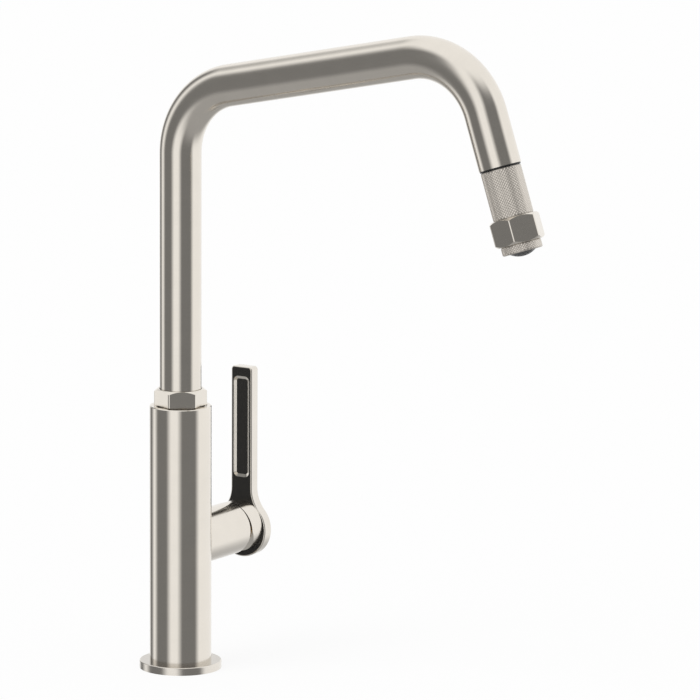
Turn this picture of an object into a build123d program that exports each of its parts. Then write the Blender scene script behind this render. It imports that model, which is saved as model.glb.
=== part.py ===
from build123d import *
import os
from math import atan, cos, degrees, pi, radians, sin, sqrt, tan

# Pull-out kitchen faucet, in millimetres. The origin is the centre of the base
# flange's underside, on the worktop. +Z is up, +X is the way the spout points
# and +Y is the side that carries the lever.

# Fits and gaps
seat_gap = 0.05        # radial gap between pieces that are screwed or pressed together
running_gap = 0.05     # radial gap between pieces that turn or slide on each other
face_gap = 0.05        # axial gap under a face that turns on another
free_gap = 0.4         # gap between pieces that pass each other without touching
bevel_step = 0.15      # a hexagon's turned end circle, inside its flats
cut_over = 1.0         # how far a cut runs past the face that it opens
fine_edge = 0.3        # small chamfer on edges that are handled

# Base flange and column
flange_radius = 27.6
flange_height = 5.2
flange_edge = 0.8      # rounded upper edge
column_radius = 20.75
column_wall = 1.75
column_rim_z = 179.0
rim_chamfer = 0.45
gasket_inset = 2.6     # from the flange's edge to the gasket
gasket_width = 4.0
gasket_height = 1.6

# Threaded shank below the worktop
shank_radius = 16.5
shank_thread_radius = 16.0
shank_bore = 14.2
shank_neck = 38.0      # plain length below the worktop's upper face
shank_thread = 28.0
shank_grip = 12.0      # length screwed into the valve body
deck_thickness = 40.0
jack_gap = 2.0         # space that the clamp screws open under the steel washer
shank_edge = 0.5
washer_radius = 26.0
rubber_height = 3.0
steel_height = 2.0
mount_nut_flats = 50.0
mount_nut_height = 10.0
mount_nut_bevel = 30.0 # degrees
clamp_screw_radius = 2.5
hex_key_share = 0.5    # hexagon socket against its screw's radius
clamp_screw_length = 22.0
clamp_screw_count = 3

# Spout tube: a vertical riser, a rising arm and a leaning leg, with equal bends
tube_radius = 14.0
tube_wall = 1.2
arm_corner_z = 389.07
arm_rise = 11.29       # degrees above level
arm_length = 226.5
leg_lean = 18.39       # degrees from vertical, outwards
leg_straight = 34.89   # straight part of the leg, below its bend
bend_radius = 48.7

# Swivel joint in the top of the column
spout_nut_flats = 31.0
spout_nut_round = 1.5  # rounding of the hexagon's upright edges
spout_nut_low_bevel = 30.0   # degrees, slope of the cone that its lower end is turned to
spout_nut_high_bevel = 38.0
spout_nut_height = 12.2
spout_nut_gap = 0.3
spout_nut_turn = 37.7  # degrees, places a corner of the hexagon
nut_sink = 0.7         # how far the hexagon sits below the column's rim
nut_spigot = 6.3
socket_depth = 11.0    # threaded depth of the column's top
socket_radius = 16.9
counterbore_radius = 17.9
counterbore_depth = 1.0
bearing_length = 25.0
bearing_lip = 3.0
snap_ring_height = 1.4
snap_ring_radius = 16.2
snap_ring_groove = 0.6
snap_ring_opening = 24.0
thrust_height = 1.2
spout_swing = 75.0     # degrees to each side
stop_tooth_turn = 180.0  # degrees from +X to the tooth's middle
stop_tooth_half = 7.0
stop_tooth_margin = 1.0
stop_tooth_height = 3.5
stop_tooth_root = 1.0

# Lever hub on the side of the column
hub_z = 85.0
hub_radius = 17.8
hub_wall = 1.25
hub_lip = 1.5
hub_lip_gap = 0.2
hub_lip_opening = 14.6
hub_edge = 0.7         # rounded outer end edge

# Valve body inside the column and the cartridge housing screwed into it
valve_top_z = 108.0
valve_floor = 8.0      # thickness of the floor above the shank
valve_back_y = -1.2
inlet_radius = 4.5
inlet_depth = 12.0
inlet_x = 8.2
inlet_y = 4.8
outlet_radius = 4.0
outlet_y = 10.0
channel_radius = 2.0
channel_x = 6.0
outlet_channel_y = 6.5
housing_seat_y = 14.0
housing_radius = 16.4
housing_spigot = 8.0
housing_spigot_radius = 9.0
housing_floor = 6.0
housing_beyond = 0.8   # how far the housing runs past the cartridge nut
port_drop = 5.5

# Ceramic cartridge
cartridge_radius = 12.5
cartridge_wall = 1.95
cartridge_base_height = 3.5
disc_height = 3.0
fixed_disc_radius = 10.0
moving_disc_radius = 7.2
carrier_height = 4.5
carrier_socket_depth = 2.7
yoke_length = 11.0
yoke_slot_width = 7.4
yoke_slot_length = 16.0
cartridge_top = 2.0
cartridge_mouth = 8.8
seal_cord = 0.75
disc_hollow_wall = 2.0
nut_thread_radius = 14.4
nut_collar = 1.1
nut_thread_length = 7.0
nut_opening = 9.5
nut_notch = 3.0

# Lever stem and its pivot
pivot_back = 6.7       # from the yoke's inner face to the pivot
stem_arm = 7.0         # pivot to the ball that drives the disc
ball_radius = 2.2
neck_radius = 1.5
stem_radius = 3.5
stem_square = 6.4
stem_round_length = 9.0
stem_beyond = 0.2      # how far the stem runs past the cap's outer face
pin_radius = 1.5
lever_tilt = 25.0      # degrees of travel, shut to fully open

# Handle cap between the hub and the lever
cap_radius = 17.5
cap_wall = 2.2
cap_length = 14.7      # hub's end to the cap's outer face
cap_nose = 2.3         # hub's end to where the cap's two inner planes meet
cap_upper_slant = 6.3  # degrees
cap_tilt_room = 2.0    # degrees of slant beyond the lever's tilt
cap_hollow = 5.0       # depth of the hollow beyond the hub's end
cap_edge = 1.0         # rounded outer edge beside the lever
cap_spigot_radius = 13.1
cap_spigot = 4.4
set_screw_radius = 2.45
set_screw_length = 7.0
set_screw_back = 6.2   # from the cap's outer face to the screw's axis
plug_length = 2.4
plug_sink = 0.3

# Lever: an eye ring with an upright bar
lever_thick = 8.2
lever_eye_radius = 19.5
lever_eye_drop = 2.8   # eye centre below the hub's axis
lever_top_z = 194.3
lever_half_width = 8.3
lever_blend = 22.0
lever_corner = 2.4
lever_edge = 1.1
slot_low_z = 118.0
slot_high_z = 187.6
slot_half_width = 6.25
slot_corner = 3.6
slot_bevel_width = 1.9
slot_depth = 1.0
end_cap_height = 3.4
end_cap_sink = 0.4
end_cap_chamfer = 0.6

# Docking bush in the end of the spout
dock_depth = 22.0
dock_bore = 10.25
dock_flange_radius = 13.4
dock_flange = 0.9

# Spray head, measured along the leg's axis from the end of the tube
grip_radius = 13.35
grip_bore = 12.0
grip_gap = 0.3
grip_length = 31.9
collar_flats = 30.0
collar_length = 17.2
collar_round = 1.8     # rounding of the hexagon's long edges
collar_bevel = 38.0    # degrees, slope of the cones that its two ends are turned to
collar_turn = 11.0     # degrees, places the flats about the leg's axis
ring_radius = 13.3
ring_length = 5.7
ring_edge = 0.4
ring_mouth = 8.9
nose_length = 18.0
nose_chamfer = 1.2
core_back = 1.6        # collar's end back to the core's end
core_bore = 7.2
water_radius = 5.0
check_radius = 6.5
check_start = 20.0
check_length = 14.0
filter_start = 8.0
filter_height = 2.0
filter_hole = 0.8
filter_holes = 6
nut_end = 7.7          # hose nut's inner end, back from the tube's end
nut_bore = 5.0
aerator_radius = 10.4
aerator_dome_radius = 8.5
aerator_dome = 2.7
aerator_seat = 2.6
aerator_gasket = 1.5
aerator_hole = 0.65
aerator_circles = 3
aerator_circle_step = 1.95
aerator_circle_jets = 4  # more jets on each circle than on the one inside it

# Hose and its two end fittings
hose_radius = 6.0
hose_bore = 4.0
hose_offset = 7.8      # from the column's axis, past the valve body
hose_shift_low_z = 125.0
hose_shift_high_z = 175.0
hose_shift_radius = 300.0
hose_tail_drop = 6.0   # below the shank's lower end
ferrule_start = 28.0
ferrule_collar = 9.5
ferrule_radius = 7.5
ferrule_stem = 4.8
ferrule_head = 6.9
ferrule_head_end = 2.0
tail_hex_flats = 15.0
tail_hex_height = 6.0
tail_stem_radius = 5.0
tail_stem = 14.0


def turned_ends(low, high, flats, low_bevel, high_bevel):
    """Return the half profile that turns the two ends of a hexagon bar to cones."""
    reach = flats / sqrt(3) + free_gap
    circle = flats / 2 - bevel_step
    return [(0, low), (circle, low), (reach, low + (reach - circle) * tan(radians(low_bevel))),
            (reach, high - (reach - circle) * tan(radians(high_bevel))), (circle, high),
            (0, high)]


def upright_plane(turn):
    """Return the upright plane that leaves the column's axis at an angle from +X."""
    angle = radians(turn)
    return Plane(origin=(0, 0, 0), x_dir=(cos(angle), sin(angle), 0),
                 z_dir=(sin(angle), -cos(angle), 0))


# Planes and levels worked out from the sizes above
gasket_radius = flange_radius - gasket_inset
clamp_screw_offset = (shank_thread_radius + mount_nut_flats / 2) / 2
column_bore = column_radius - column_wall
hub_plane = Plane(origin=(0, 0, hub_z), x_dir=(1, 0, 0), z_dir=(0, 1, 0))
lean = radians(leg_lean)
rise = radians(arm_rise)
corner_low = Vector(0, 0, arm_corner_z)
corner_high = corner_low + Vector(cos(rise), 0, sin(rise)) * arm_length
leg_way = Vector(sin(lean), 0, -cos(lean))
bend_reach = bend_radius * tan((pi / 2 + rise - lean) / 2)
tube_end = corner_high + leg_way * (bend_reach + leg_straight)
leg_plane = Plane(origin=tube_end, x_dir=(0, -1, 0), z_dir=leg_way)

head_start = dock_flange + grip_gap
grip_end = head_start + grip_length
collar_end = grip_end + collar_length
core_end = collar_end - core_back
ring_end = collar_end + ring_length

counterbore_z = column_rim_z - counterbore_depth
nut_low_z = column_rim_z - nut_sink
bearing_top_z = column_rim_z - socket_depth
bearing_low_z = bearing_top_z - bearing_length
tube_low_z = bearing_low_z + bearing_lip + face_gap
ring_low_z = bearing_top_z + thrust_height + face_gap
valve_low_z = flange_height
shank_top_z = valve_low_z + shank_grip
valve_deck_z = shank_top_z + valve_floor
channel_low_z = shank_top_z + inlet_depth
shank_low_z = -shank_neck - shank_thread
rubber_low_z = -deck_thickness - rubber_height
steel_low_z = rubber_low_z - steel_height
mount_nut_top_z = steel_low_z - jack_gap

cartridge_floor_y = housing_seat_y + housing_floor
base_top_y = cartridge_floor_y + cartridge_base_height
fixed_top_y = base_top_y + disc_height
moving_low_y = fixed_top_y + face_gap
moving_top_y = moving_low_y + disc_height
carrier_top_y = moving_top_y + carrier_height
yoke_low_y = carrier_top_y + free_gap
yoke_top_y = yoke_low_y + yoke_length
body_top_y = yoke_top_y + free_gap + cartridge_top
nut_top_y = body_top_y + nut_collar + seat_gap + nut_thread_length
housing_end_y = nut_top_y + housing_beyond
hub_end_y = housing_end_y + hub_lip_gap + hub_lip
cap_nose_y = hub_end_y + cap_nose
cap_end_y = hub_end_y + cap_length
pivot_y = yoke_low_y + pivot_back
cartridge_bore = cartridge_radius - cartridge_wall
pivot = Vector(0, pivot_y, hub_z)
tilt = radians(lever_tilt / 2)
disc_shift = -stem_arm * sin(tilt)
stem_way = Vector(0, cos(tilt), sin(tilt))
stem_plane = Plane(origin=pivot, x_dir=(1, 0, 0), z_dir=stem_way)
stem_length = (cap_end_y + stem_beyond - pivot_y) / cos(tilt)
screw_centre = pivot + stem_way * ((cap_end_y - set_screw_back - pivot_y) / cos(tilt))
screw_plane = Plane(origin=screw_centre, x_dir=(0, 1, 0), z_dir=(-1, 0, 0))
lever_eye_z = hub_z - lever_eye_drop
lever_out_y = cap_end_y + lever_thick

# Base flange, with a groove under it for the gasket
with BuildPart() as base_flange:
    with BuildSketch(Plane.XZ):
        with BuildLine():
            Polyline((shank_thread_radius + free_gap, 0),
                     (gasket_radius - gasket_width, 0),
                     (gasket_radius - gasket_width, gasket_height),
                     (gasket_radius, gasket_height),
                     (gasket_radius, 0),
                     (flange_radius, 0),
                     (flange_radius, flange_height),
                     (shank_thread_radius + free_gap, flange_height),
                     close=True)
        make_face()
    revolve(axis=Axis.Z)
    fillet(base_flange.edges().filter_by(GeomType.CIRCLE).group_by(Axis.Z)[-1]
           .group_by(SortBy.RADIUS)[-1], radius=flange_edge)
base_flange.part.label = "base_flange"

with BuildPart() as base_gasket:
    with BuildSketch():
        Circle(gasket_radius - seat_gap)
        Circle(gasket_radius - gasket_width + seat_gap, mode=Mode.SUBTRACT)
    extrude(amount=gasket_height)
base_gasket.part.label = "base_gasket"

# Shank: a plain neck through the worktop and a thread at each end
with BuildPart() as mounting_shank:
    with BuildSketch(Plane.XY.offset(shank_low_z)):
        Circle(shank_thread_radius)
    extrude(amount=shank_top_z - shank_low_z)
    with BuildSketch(Plane.XY.offset(-shank_neck)):
        Circle(shank_radius)
    extrude(amount=shank_neck)
    with BuildSketch(Plane.XY.offset(shank_low_z)):
        Circle(shank_bore)
    extrude(amount=shank_top_z - shank_low_z, mode=Mode.SUBTRACT)
    chamfer(mounting_shank.edges().group_by(Axis.Z)[0], length=shank_edge)
mounting_shank.part.label = "mounting_shank"

with BuildPart() as deck_rubber_washer:
    with BuildSketch(Plane.XY.offset(rubber_low_z)):
        Circle(washer_radius)
        Circle(shank_thread_radius + free_gap, mode=Mode.SUBTRACT)
    extrude(amount=rubber_height)
deck_rubber_washer.part.label = "deck_rubber_washer"

with BuildPart() as deck_steel_washer:
    with BuildSketch(Plane.XY.offset(steel_low_z)):
        Circle(washer_radius)
        Circle(shank_thread_radius + free_gap, mode=Mode.SUBTRACT)
    extrude(amount=steel_height)
    chamfer(deck_steel_washer.edges().filter_by(GeomType.CIRCLE).group_by(SortBy.RADIUS)[-1],
            length=fine_edge)
deck_steel_washer.part.label = "deck_steel_washer"

# Mounting nut, its corners turned to cones, with jack screws that press on the steel washer
mount_nut_low_z = mount_nut_top_z - mount_nut_height
mount_nut_reach = mount_nut_flats / sqrt(3) + free_gap
mount_nut_slope = (mount_nut_reach - mount_nut_flats / 2) * tan(radians(mount_nut_bevel))
with BuildPart() as mounting_nut:
    with BuildSketch(Plane.XY.offset(mount_nut_low_z)):
        RegularPolygon(mount_nut_flats / 2, 6, major_radius=False)
        Circle(shank_thread_radius + seat_gap, mode=Mode.SUBTRACT)
        with PolarLocations(clamp_screw_offset, clamp_screw_count, start_angle=30):
            Circle(clamp_screw_radius + seat_gap, mode=Mode.SUBTRACT)
    extrude(amount=mount_nut_height)
    with BuildSketch(Plane.XZ):
        with BuildLine():
            Polyline((0, mount_nut_low_z), (mount_nut_flats / 2, mount_nut_low_z),
                     (mount_nut_reach, mount_nut_low_z + mount_nut_slope),
                     (mount_nut_reach, mount_nut_top_z - mount_nut_slope),
                     (mount_nut_flats / 2, mount_nut_top_z), (0, mount_nut_top_z),
                     close=True)
        make_face()
    revolve(axis=Axis.Z, mode=Mode.INTERSECT)
mounting_nut.part.label = "mounting_nut"

with BuildPart() as clamp_screws:
    with BuildSketch(Plane.XY.offset(steel_low_z - clamp_screw_length)):
        with PolarLocations(clamp_screw_offset, clamp_screw_count, start_angle=30):
            Circle(clamp_screw_radius)
    extrude(amount=clamp_screw_length)
    with BuildSketch(Plane.XY.offset(steel_low_z - clamp_screw_length)):
        with PolarLocations(clamp_screw_offset, clamp_screw_count, start_angle=30):
            RegularPolygon(clamp_screw_radius * hex_key_share, 6)
    extrude(amount=clamp_screw_radius, mode=Mode.SUBTRACT)
clamp_screws.part.label = "clamp_screws"

# Column: a straight shell with a threaded socket in its top and a side opening
with BuildPart() as column:
    with BuildSketch(Plane.XZ):
        with BuildLine():
            Polyline((column_bore, flange_height),
                     (column_radius, flange_height),
                     (column_radius, column_rim_z - rim_chamfer),
                     (column_radius - rim_chamfer, column_rim_z),
                     (counterbore_radius, column_rim_z),
                     (counterbore_radius, counterbore_z),
                     (socket_radius, counterbore_z),
                     (socket_radius, bearing_top_z),
                     (column_bore, bearing_top_z),
                     close=True)
        make_face()
    revolve(axis=Axis.Z)
    with BuildSketch(hub_plane):
        Circle(housing_radius + free_gap)
    extrude(amount=column_radius + cut_over, mode=Mode.SUBTRACT)
column.part.label = "column"

# Valve body: a round foot over the shank and a half-round block behind the hose
with BuildPart() as valve_body:
    with BuildSketch(Plane.XY.offset(valve_low_z)):
        Circle(column_bore - seat_gap)
        Circle(shank_thread_radius + seat_gap, mode=Mode.SUBTRACT)
    extrude(amount=shank_grip)
    with BuildSketch(Plane.XY.offset(shank_top_z)):
        Circle(column_bore - seat_gap)
        with Locations((0, -hose_offset)):
            Circle(hose_radius + free_gap, mode=Mode.SUBTRACT)
    extrude(amount=valve_floor)
    with BuildSketch(Plane.XY.offset(valve_deck_z)):
        Circle(column_bore - seat_gap)
        with Locations((0, valve_back_y)):
            Rectangle(4 * column_bore, 2 * column_bore, mode=Mode.SUBTRACT,
                      align=(Align.CENTER, Align.MAX))
    extrude(amount=valve_top_z - valve_deck_z)
    with BuildSketch(Plane.XY.offset(shank_top_z)):
        with Locations((-inlet_x, inlet_y), (inlet_x, inlet_y)):
            Circle(inlet_radius)
        with Locations((0, outlet_y)):
            Circle(outlet_radius)
    extrude(amount=inlet_depth, mode=Mode.SUBTRACT)
    with BuildSketch(Plane.XY.offset(channel_low_z)):
        with Locations((-channel_x, inlet_y), (channel_x, inlet_y)):
            Circle(channel_radius)
    extrude(amount=hub_z + channel_radius - channel_low_z, mode=Mode.SUBTRACT)
    with BuildSketch(Plane.XY.offset(channel_low_z)):
        with Locations((0, outlet_channel_y)):
            Circle(channel_radius)
    extrude(amount=hub_z - port_drop + channel_radius - channel_low_z, mode=Mode.SUBTRACT)
    with BuildSketch(hub_plane.offset(housing_seat_y)):
        Circle(housing_radius + seat_gap)
    extrude(amount=column_bore, mode=Mode.SUBTRACT)
    with BuildSketch(hub_plane.offset(housing_seat_y - housing_spigot)):
        Circle(housing_spigot_radius + seat_gap)
    extrude(amount=housing_spigot, mode=Mode.SUBTRACT)
valve_body.part.label = "valve_body"

# Cartridge housing: a threaded spigot, a deep cup and three water ports
with BuildPart() as cartridge_housing:
    with BuildSketch(hub_plane.offset(housing_seat_y - housing_spigot)):
        Circle(housing_spigot_radius)
    extrude(amount=housing_spigot)
    with BuildSketch(hub_plane.offset(housing_seat_y)):
        Circle(housing_radius)
    extrude(amount=housing_end_y - housing_seat_y)
    with BuildSketch(hub_plane.offset(cartridge_floor_y)):
        Circle(cartridge_radius + seat_gap)
    extrude(amount=housing_end_y - cartridge_floor_y, mode=Mode.SUBTRACT)
    with BuildSketch(hub_plane.offset(body_top_y + nut_collar)):
        Circle(nut_thread_radius + seat_gap)
    extrude(amount=housing_end_y - body_top_y - nut_collar, mode=Mode.SUBTRACT)
    with BuildSketch(hub_plane.offset(housing_seat_y - housing_spigot)):
        with Locations((-channel_x, 0), (channel_x, 0), (0, port_drop)):
            Circle(channel_radius)
    extrude(amount=housing_spigot + housing_floor, mode=Mode.SUBTRACT)
cartridge_housing.part.label = "cartridge_housing"

# Hub sleeve: the visible side tube, cut to sit against the column
with BuildPart() as hub_sleeve:
    with BuildSketch(hub_plane):
        Circle(hub_radius)
        Circle(hub_radius - hub_wall, mode=Mode.SUBTRACT)
    extrude(amount=hub_end_y)
    with BuildSketch(hub_plane.offset(hub_end_y - hub_lip)):
        Circle(hub_radius)
        Circle(hub_lip_opening, mode=Mode.SUBTRACT)
    extrude(amount=hub_lip)
    fillet(hub_sleeve.edges().filter_by(GeomType.CIRCLE).group_by(Axis.Y)[-1]
           .group_by(SortBy.RADIUS)[-1], radius=hub_edge)
    with BuildSketch():
        Circle(column_radius + seat_gap)
    extrude(amount=2 * hub_z, mode=Mode.SUBTRACT)
hub_sleeve.part.label = "hub_sleeve"

# Cartridge base with ports and seal seats
with BuildPart() as cartridge_base:
    with BuildSketch(hub_plane.offset(cartridge_floor_y)):
        Circle(cartridge_radius)
    extrude(amount=cartridge_base_height)
    with BuildSketch(hub_plane.offset(cartridge_floor_y)):
        with Locations((-channel_x, 0), (channel_x, 0), (0, port_drop)):
            Circle(channel_radius)
    extrude(amount=cartridge_base_height, mode=Mode.SUBTRACT)
    with BuildSketch(hub_plane.offset(cartridge_floor_y)):
        with Locations((-channel_x, 0), (channel_x, 0), (0, port_drop)):
            Circle(channel_radius + 2 * seal_cord)
    extrude(amount=2 * seal_cord, mode=Mode.SUBTRACT)
cartridge_base.part.label = "cartridge_base"

# One small ring seal in each port's seat
with BuildPart() as cartridge_seals:
    with BuildSketch(hub_plane.offset(cartridge_floor_y)):
        with Locations((-channel_x, 0), (channel_x, 0), (0, port_drop)):
            Circle(channel_radius + 2 * seal_cord - seat_gap)
        with Locations((-channel_x, 0), (channel_x, 0), (0, port_drop)):
            Circle(channel_radius, mode=Mode.SUBTRACT)
    extrude(amount=2 * seal_cord)
cartridge_seals.part.label = "cartridge_seals"

with BuildPart() as fixed_disc:
    with BuildSketch(hub_plane.offset(base_top_y)):
        Circle(fixed_disc_radius)
        with Locations((-channel_x, 0), (channel_x, 0), (0, port_drop)):
            Circle(channel_radius, mode=Mode.SUBTRACT)
    extrude(amount=disc_height)
fixed_disc.part.label = "fixed_disc"

with BuildPart() as cartridge_body:
    with BuildSketch(hub_plane.offset(base_top_y)):
        Circle(cartridge_radius)
        Circle(cartridge_bore, mode=Mode.SUBTRACT)
    extrude(amount=body_top_y - base_top_y)
    with BuildSketch(hub_plane.offset(body_top_y - cartridge_top)):
        Circle(cartridge_radius)
        Circle(cartridge_mouth, mode=Mode.SUBTRACT)
    extrude(amount=cartridge_top)
cartridge_body.part.label = "cartridge_body"

with BuildPart() as cartridge_nut:
    with BuildSketch(hub_plane.offset(body_top_y)):
        Circle(cartridge_radius)
    extrude(amount=nut_collar + seat_gap)
    with BuildSketch(hub_plane.offset(body_top_y + nut_collar + seat_gap)):
        Circle(nut_thread_radius)
    extrude(amount=nut_thread_length)
    with BuildSketch(hub_plane.offset(body_top_y)):
        Circle(nut_opening)
    extrude(amount=nut_collar + nut_thread_length + seat_gap, mode=Mode.SUBTRACT)
    with BuildSketch(hub_plane.offset(body_top_y + nut_thread_length)):
        Rectangle(4 * nut_thread_radius, nut_notch)
    extrude(amount=nut_thread_length, mode=Mode.SUBTRACT)
cartridge_nut.part.label = "cartridge_nut"

# The moving disc and the carrier that the stem's ball pushes
disc_plane = Plane(origin=(0, moving_low_y, hub_z + disc_shift), x_dir=(1, 0, 0),
                   z_dir=(0, 1, 0))
with BuildPart() as moving_disc:
    with BuildSketch(disc_plane):
        Circle(moving_disc_radius)
    extrude(amount=disc_height)
    with BuildSketch(disc_plane):
        Circle(moving_disc_radius - disc_hollow_wall)
    extrude(amount=disc_height / 2, mode=Mode.SUBTRACT)
moving_disc.part.label = "moving_disc"

with BuildPart() as disc_carrier:
    with BuildSketch(disc_plane.offset(disc_height)):
        Circle(moving_disc_radius)
    extrude(amount=carrier_height)
    with BuildSketch(disc_plane.offset(disc_height + carrier_height - carrier_socket_depth)):
        Rectangle(2 * (ball_radius + running_gap), 2 * (ball_radius + running_gap + seat_gap))
    extrude(amount=carrier_socket_depth, mode=Mode.SUBTRACT)
disc_carrier.part.label = "disc_carrier"

# Yoke that turns with the lever and holds the pivot pin
with BuildPart() as stem_yoke:
    with BuildSketch(hub_plane.offset(yoke_low_y)):
        Circle(cartridge_bore - running_gap)
        SlotOverall(yoke_slot_length, yoke_slot_width, rotation=90, mode=Mode.SUBTRACT)
    extrude(amount=yoke_length)
    with BuildSketch(Plane(origin=pivot, x_dir=(0, 1, 0), z_dir=(1, 0, 0))):
        Circle(pin_radius + seat_gap)
    extrude(amount=cartridge_radius, both=True, mode=Mode.SUBTRACT)
stem_yoke.part.label = "stem_yoke"

pin_half = sqrt((cartridge_bore - running_gap) ** 2 - pin_radius ** 2) - free_gap
with BuildPart() as pivot_pin:
    with BuildSketch(Plane(origin=pivot, x_dir=(0, 1, 0), z_dir=(1, 0, 0))):
        Circle(pin_radius)
    extrude(amount=pin_half, both=True)
pivot_pin.part.label = "pivot_pin"

# Lever stem: ball, neck, round pivot part and square outer part
with BuildPart() as lever_stem:
    with BuildSketch(stem_plane.offset(-stem_arm)):
        Circle(neck_radius)
    extrude(amount=stem_arm)
    with BuildSketch(stem_plane.offset(-stem_radius)):
        Circle(stem_radius)
    extrude(amount=stem_radius + stem_round_length)
    with BuildSketch(stem_plane.offset(stem_round_length)):
        Rectangle(stem_square, stem_square)
    extrude(amount=stem_length - stem_round_length)
    with Locations(stem_plane.offset(-stem_arm)):
        Sphere(ball_radius)
    with BuildSketch(Plane(origin=pivot, x_dir=(0, 1, 0), z_dir=(1, 0, 0))):
        Circle(pin_radius + running_gap)
    extrude(amount=2 * stem_radius, both=True, mode=Mode.SUBTRACT)
lever_stem.part.label = "lever_stem"

# Handle cap: its inner end is cut by two planes that leave room for the tilt
cap_reach = 2 * cap_radius
cap_lower_slant = lever_tilt + cap_tilt_room
with BuildPart() as handle_cap:
    with BuildSketch(hub_plane.offset(hub_end_y)):
        Circle(cap_radius)
    extrude(amount=cap_length)
    fillet(handle_cap.edges().group_by(Axis.Y)[-1], radius=cap_edge)
    with BuildSketch(hub_plane.offset(cap_end_y)):
        Circle(cap_spigot_radius)
    extrude(amount=cap_spigot)
    with BuildSketch(hub_plane.offset(hub_end_y)):
        Circle(cap_radius - cap_wall)
    extrude(amount=cap_hollow, mode=Mode.SUBTRACT)
    with BuildSketch(Plane.YZ):
        with BuildLine():
            Polyline((cap_nose_y, hub_z),
                     (cap_nose_y - cap_reach * tan(radians(cap_upper_slant)), hub_z + cap_reach),
                     (cap_nose_y - 3 * cap_reach, hub_z + cap_reach),
                     (cap_nose_y - 3 * cap_reach, hub_z - cap_reach),
                     (cap_nose_y + cap_reach * tan(radians(cap_lower_slant)), hub_z - cap_reach),
                     close=True)
        make_face()
    extrude(amount=cap_reach, both=True, mode=Mode.SUBTRACT)
    with BuildSketch(stem_plane.offset(stem_round_length)):
        Rectangle(stem_square + 2 * seat_gap, stem_square + 2 * seat_gap)
    extrude(amount=stem_length - stem_round_length + free_gap, mode=Mode.SUBTRACT)
    with BuildSketch(screw_plane):
        Circle(set_screw_radius + seat_gap)
    extrude(amount=cap_reach, mode=Mode.SUBTRACT)
handle_cap.part.label = "handle_cap"

with BuildPart() as handle_set_screw:
    with BuildSketch(screw_plane.offset(stem_square / 2 + seat_gap)):
        Circle(set_screw_radius)
    extrude(amount=set_screw_length)
    with BuildSketch(screw_plane.offset(stem_square / 2 + seat_gap + set_screw_length)):
        RegularPolygon(set_screw_radius * hex_key_share, 6)
    extrude(amount=-set_screw_radius, mode=Mode.SUBTRACT)
handle_set_screw.part.label = "handle_set_screw"

plug_face = sqrt(cap_radius ** 2 - (screw_centre.Z - hub_z + set_screw_radius) ** 2)
with BuildPart() as set_screw_plug:
    with BuildSketch(screw_plane.offset(plug_face - plug_sink)):
        Circle(set_screw_radius)
    extrude(amount=-plug_length)
set_screw_plug.part.label = "set_screw_plug"

# Lever: eye ring, bar and the two hollow blends between them
blend_x = lever_half_width + lever_blend
blend_rise = sqrt((lever_eye_radius + lever_blend) ** 2 - blend_x ** 2)
blend_z = lever_eye_z + blend_rise
blend_share = lever_eye_radius / (lever_eye_radius + lever_blend)
eye_touch = Vector(blend_x * blend_share, lever_eye_z + blend_rise * blend_share)
blend_mid = Vector(blend_x, blend_z) + (
    (eye_touch - Vector(blend_x, blend_z)) + Vector(-lever_blend, 0)).normalized() * lever_blend
with BuildPart() as lever_handle:
    with BuildSketch(Plane.XZ.offset(-cap_end_y)) as lever_outline:
        with BuildLine():
            ThreePointArc((eye_touch.X, eye_touch.Y), (blend_mid.X, blend_mid.Y),
                          (lever_half_width, blend_z))
            Polyline((lever_half_width, blend_z), (lever_half_width, lever_top_z),
                     (-lever_half_width, lever_top_z), (-lever_half_width, blend_z))
            ThreePointArc((-lever_half_width, blend_z), (-blend_mid.X, blend_mid.Y),
                          (-eye_touch.X, eye_touch.Y))
            ThreePointArc((-eye_touch.X, eye_touch.Y), (0, lever_eye_z - lever_eye_radius),
                          (eye_touch.X, eye_touch.Y))
        make_face()
        fillet(lever_outline.vertices().group_by(Axis.Y)[-1], radius=lever_corner)
    extrude(amount=-lever_thick)
    fillet(lever_handle.faces().filter_by(Axis.Y).edges(), radius=lever_edge)
    with BuildSketch(hub_plane.offset(cap_end_y)):
        Circle(cap_spigot_radius + seat_gap)
    extrude(amount=lever_thick, mode=Mode.SUBTRACT)
    with BuildSketch(Plane.XZ.offset(-cap_end_y)):
        with Locations((0, (slot_low_z + slot_high_z) / 2)):
            RectangleRounded(2 * slot_half_width, slot_high_z - slot_low_z, slot_corner)
    extrude(amount=-slot_depth, mode=Mode.SUBTRACT,
            taper=degrees(atan(slot_bevel_width / slot_depth)))
lever_handle.part.label = "lever_handle"

with BuildPart() as handle_end_cap:
    with BuildSketch(hub_plane.offset(lever_out_y - end_cap_sink)):
        Circle(cap_spigot_radius)
    extrude(amount=-end_cap_height)
    chamfer(handle_end_cap.edges().group_by(Axis.Y)[-1], length=end_cap_chamfer)
handle_end_cap.part.label = "handle_end_cap"

# Hexagon nut that holds the spout in the column
nut_mid_radius = spout_nut_flats / 2
with BuildPart() as spout_nut:
    with BuildSketch(Plane.XY.offset(nut_low_z)) as nut_outline:
        RegularPolygon(nut_mid_radius, 6, major_radius=False, rotation=spout_nut_turn)
        fillet(nut_outline.vertices(), radius=spout_nut_round)
    extrude(amount=spout_nut_height)
    with BuildSketch(Plane.XZ):
        with BuildLine():
            Polyline(turned_ends(nut_low_z, nut_low_z + spout_nut_height, spout_nut_flats,
                                 spout_nut_low_bevel, spout_nut_high_bevel), close=True)
        make_face()
    revolve(axis=Axis.Z, mode=Mode.INTERSECT)
    with BuildSketch(Plane.XY.offset(nut_low_z)):
        Circle(socket_radius - seat_gap)
    extrude(amount=-nut_spigot)
    with BuildSketch(Plane.XY.offset(nut_low_z - nut_spigot)):
        Circle(tube_radius + spout_nut_gap)
    extrude(amount=spout_nut_height + nut_spigot, mode=Mode.SUBTRACT)
spout_nut.part.label = "spout_nut"

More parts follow.
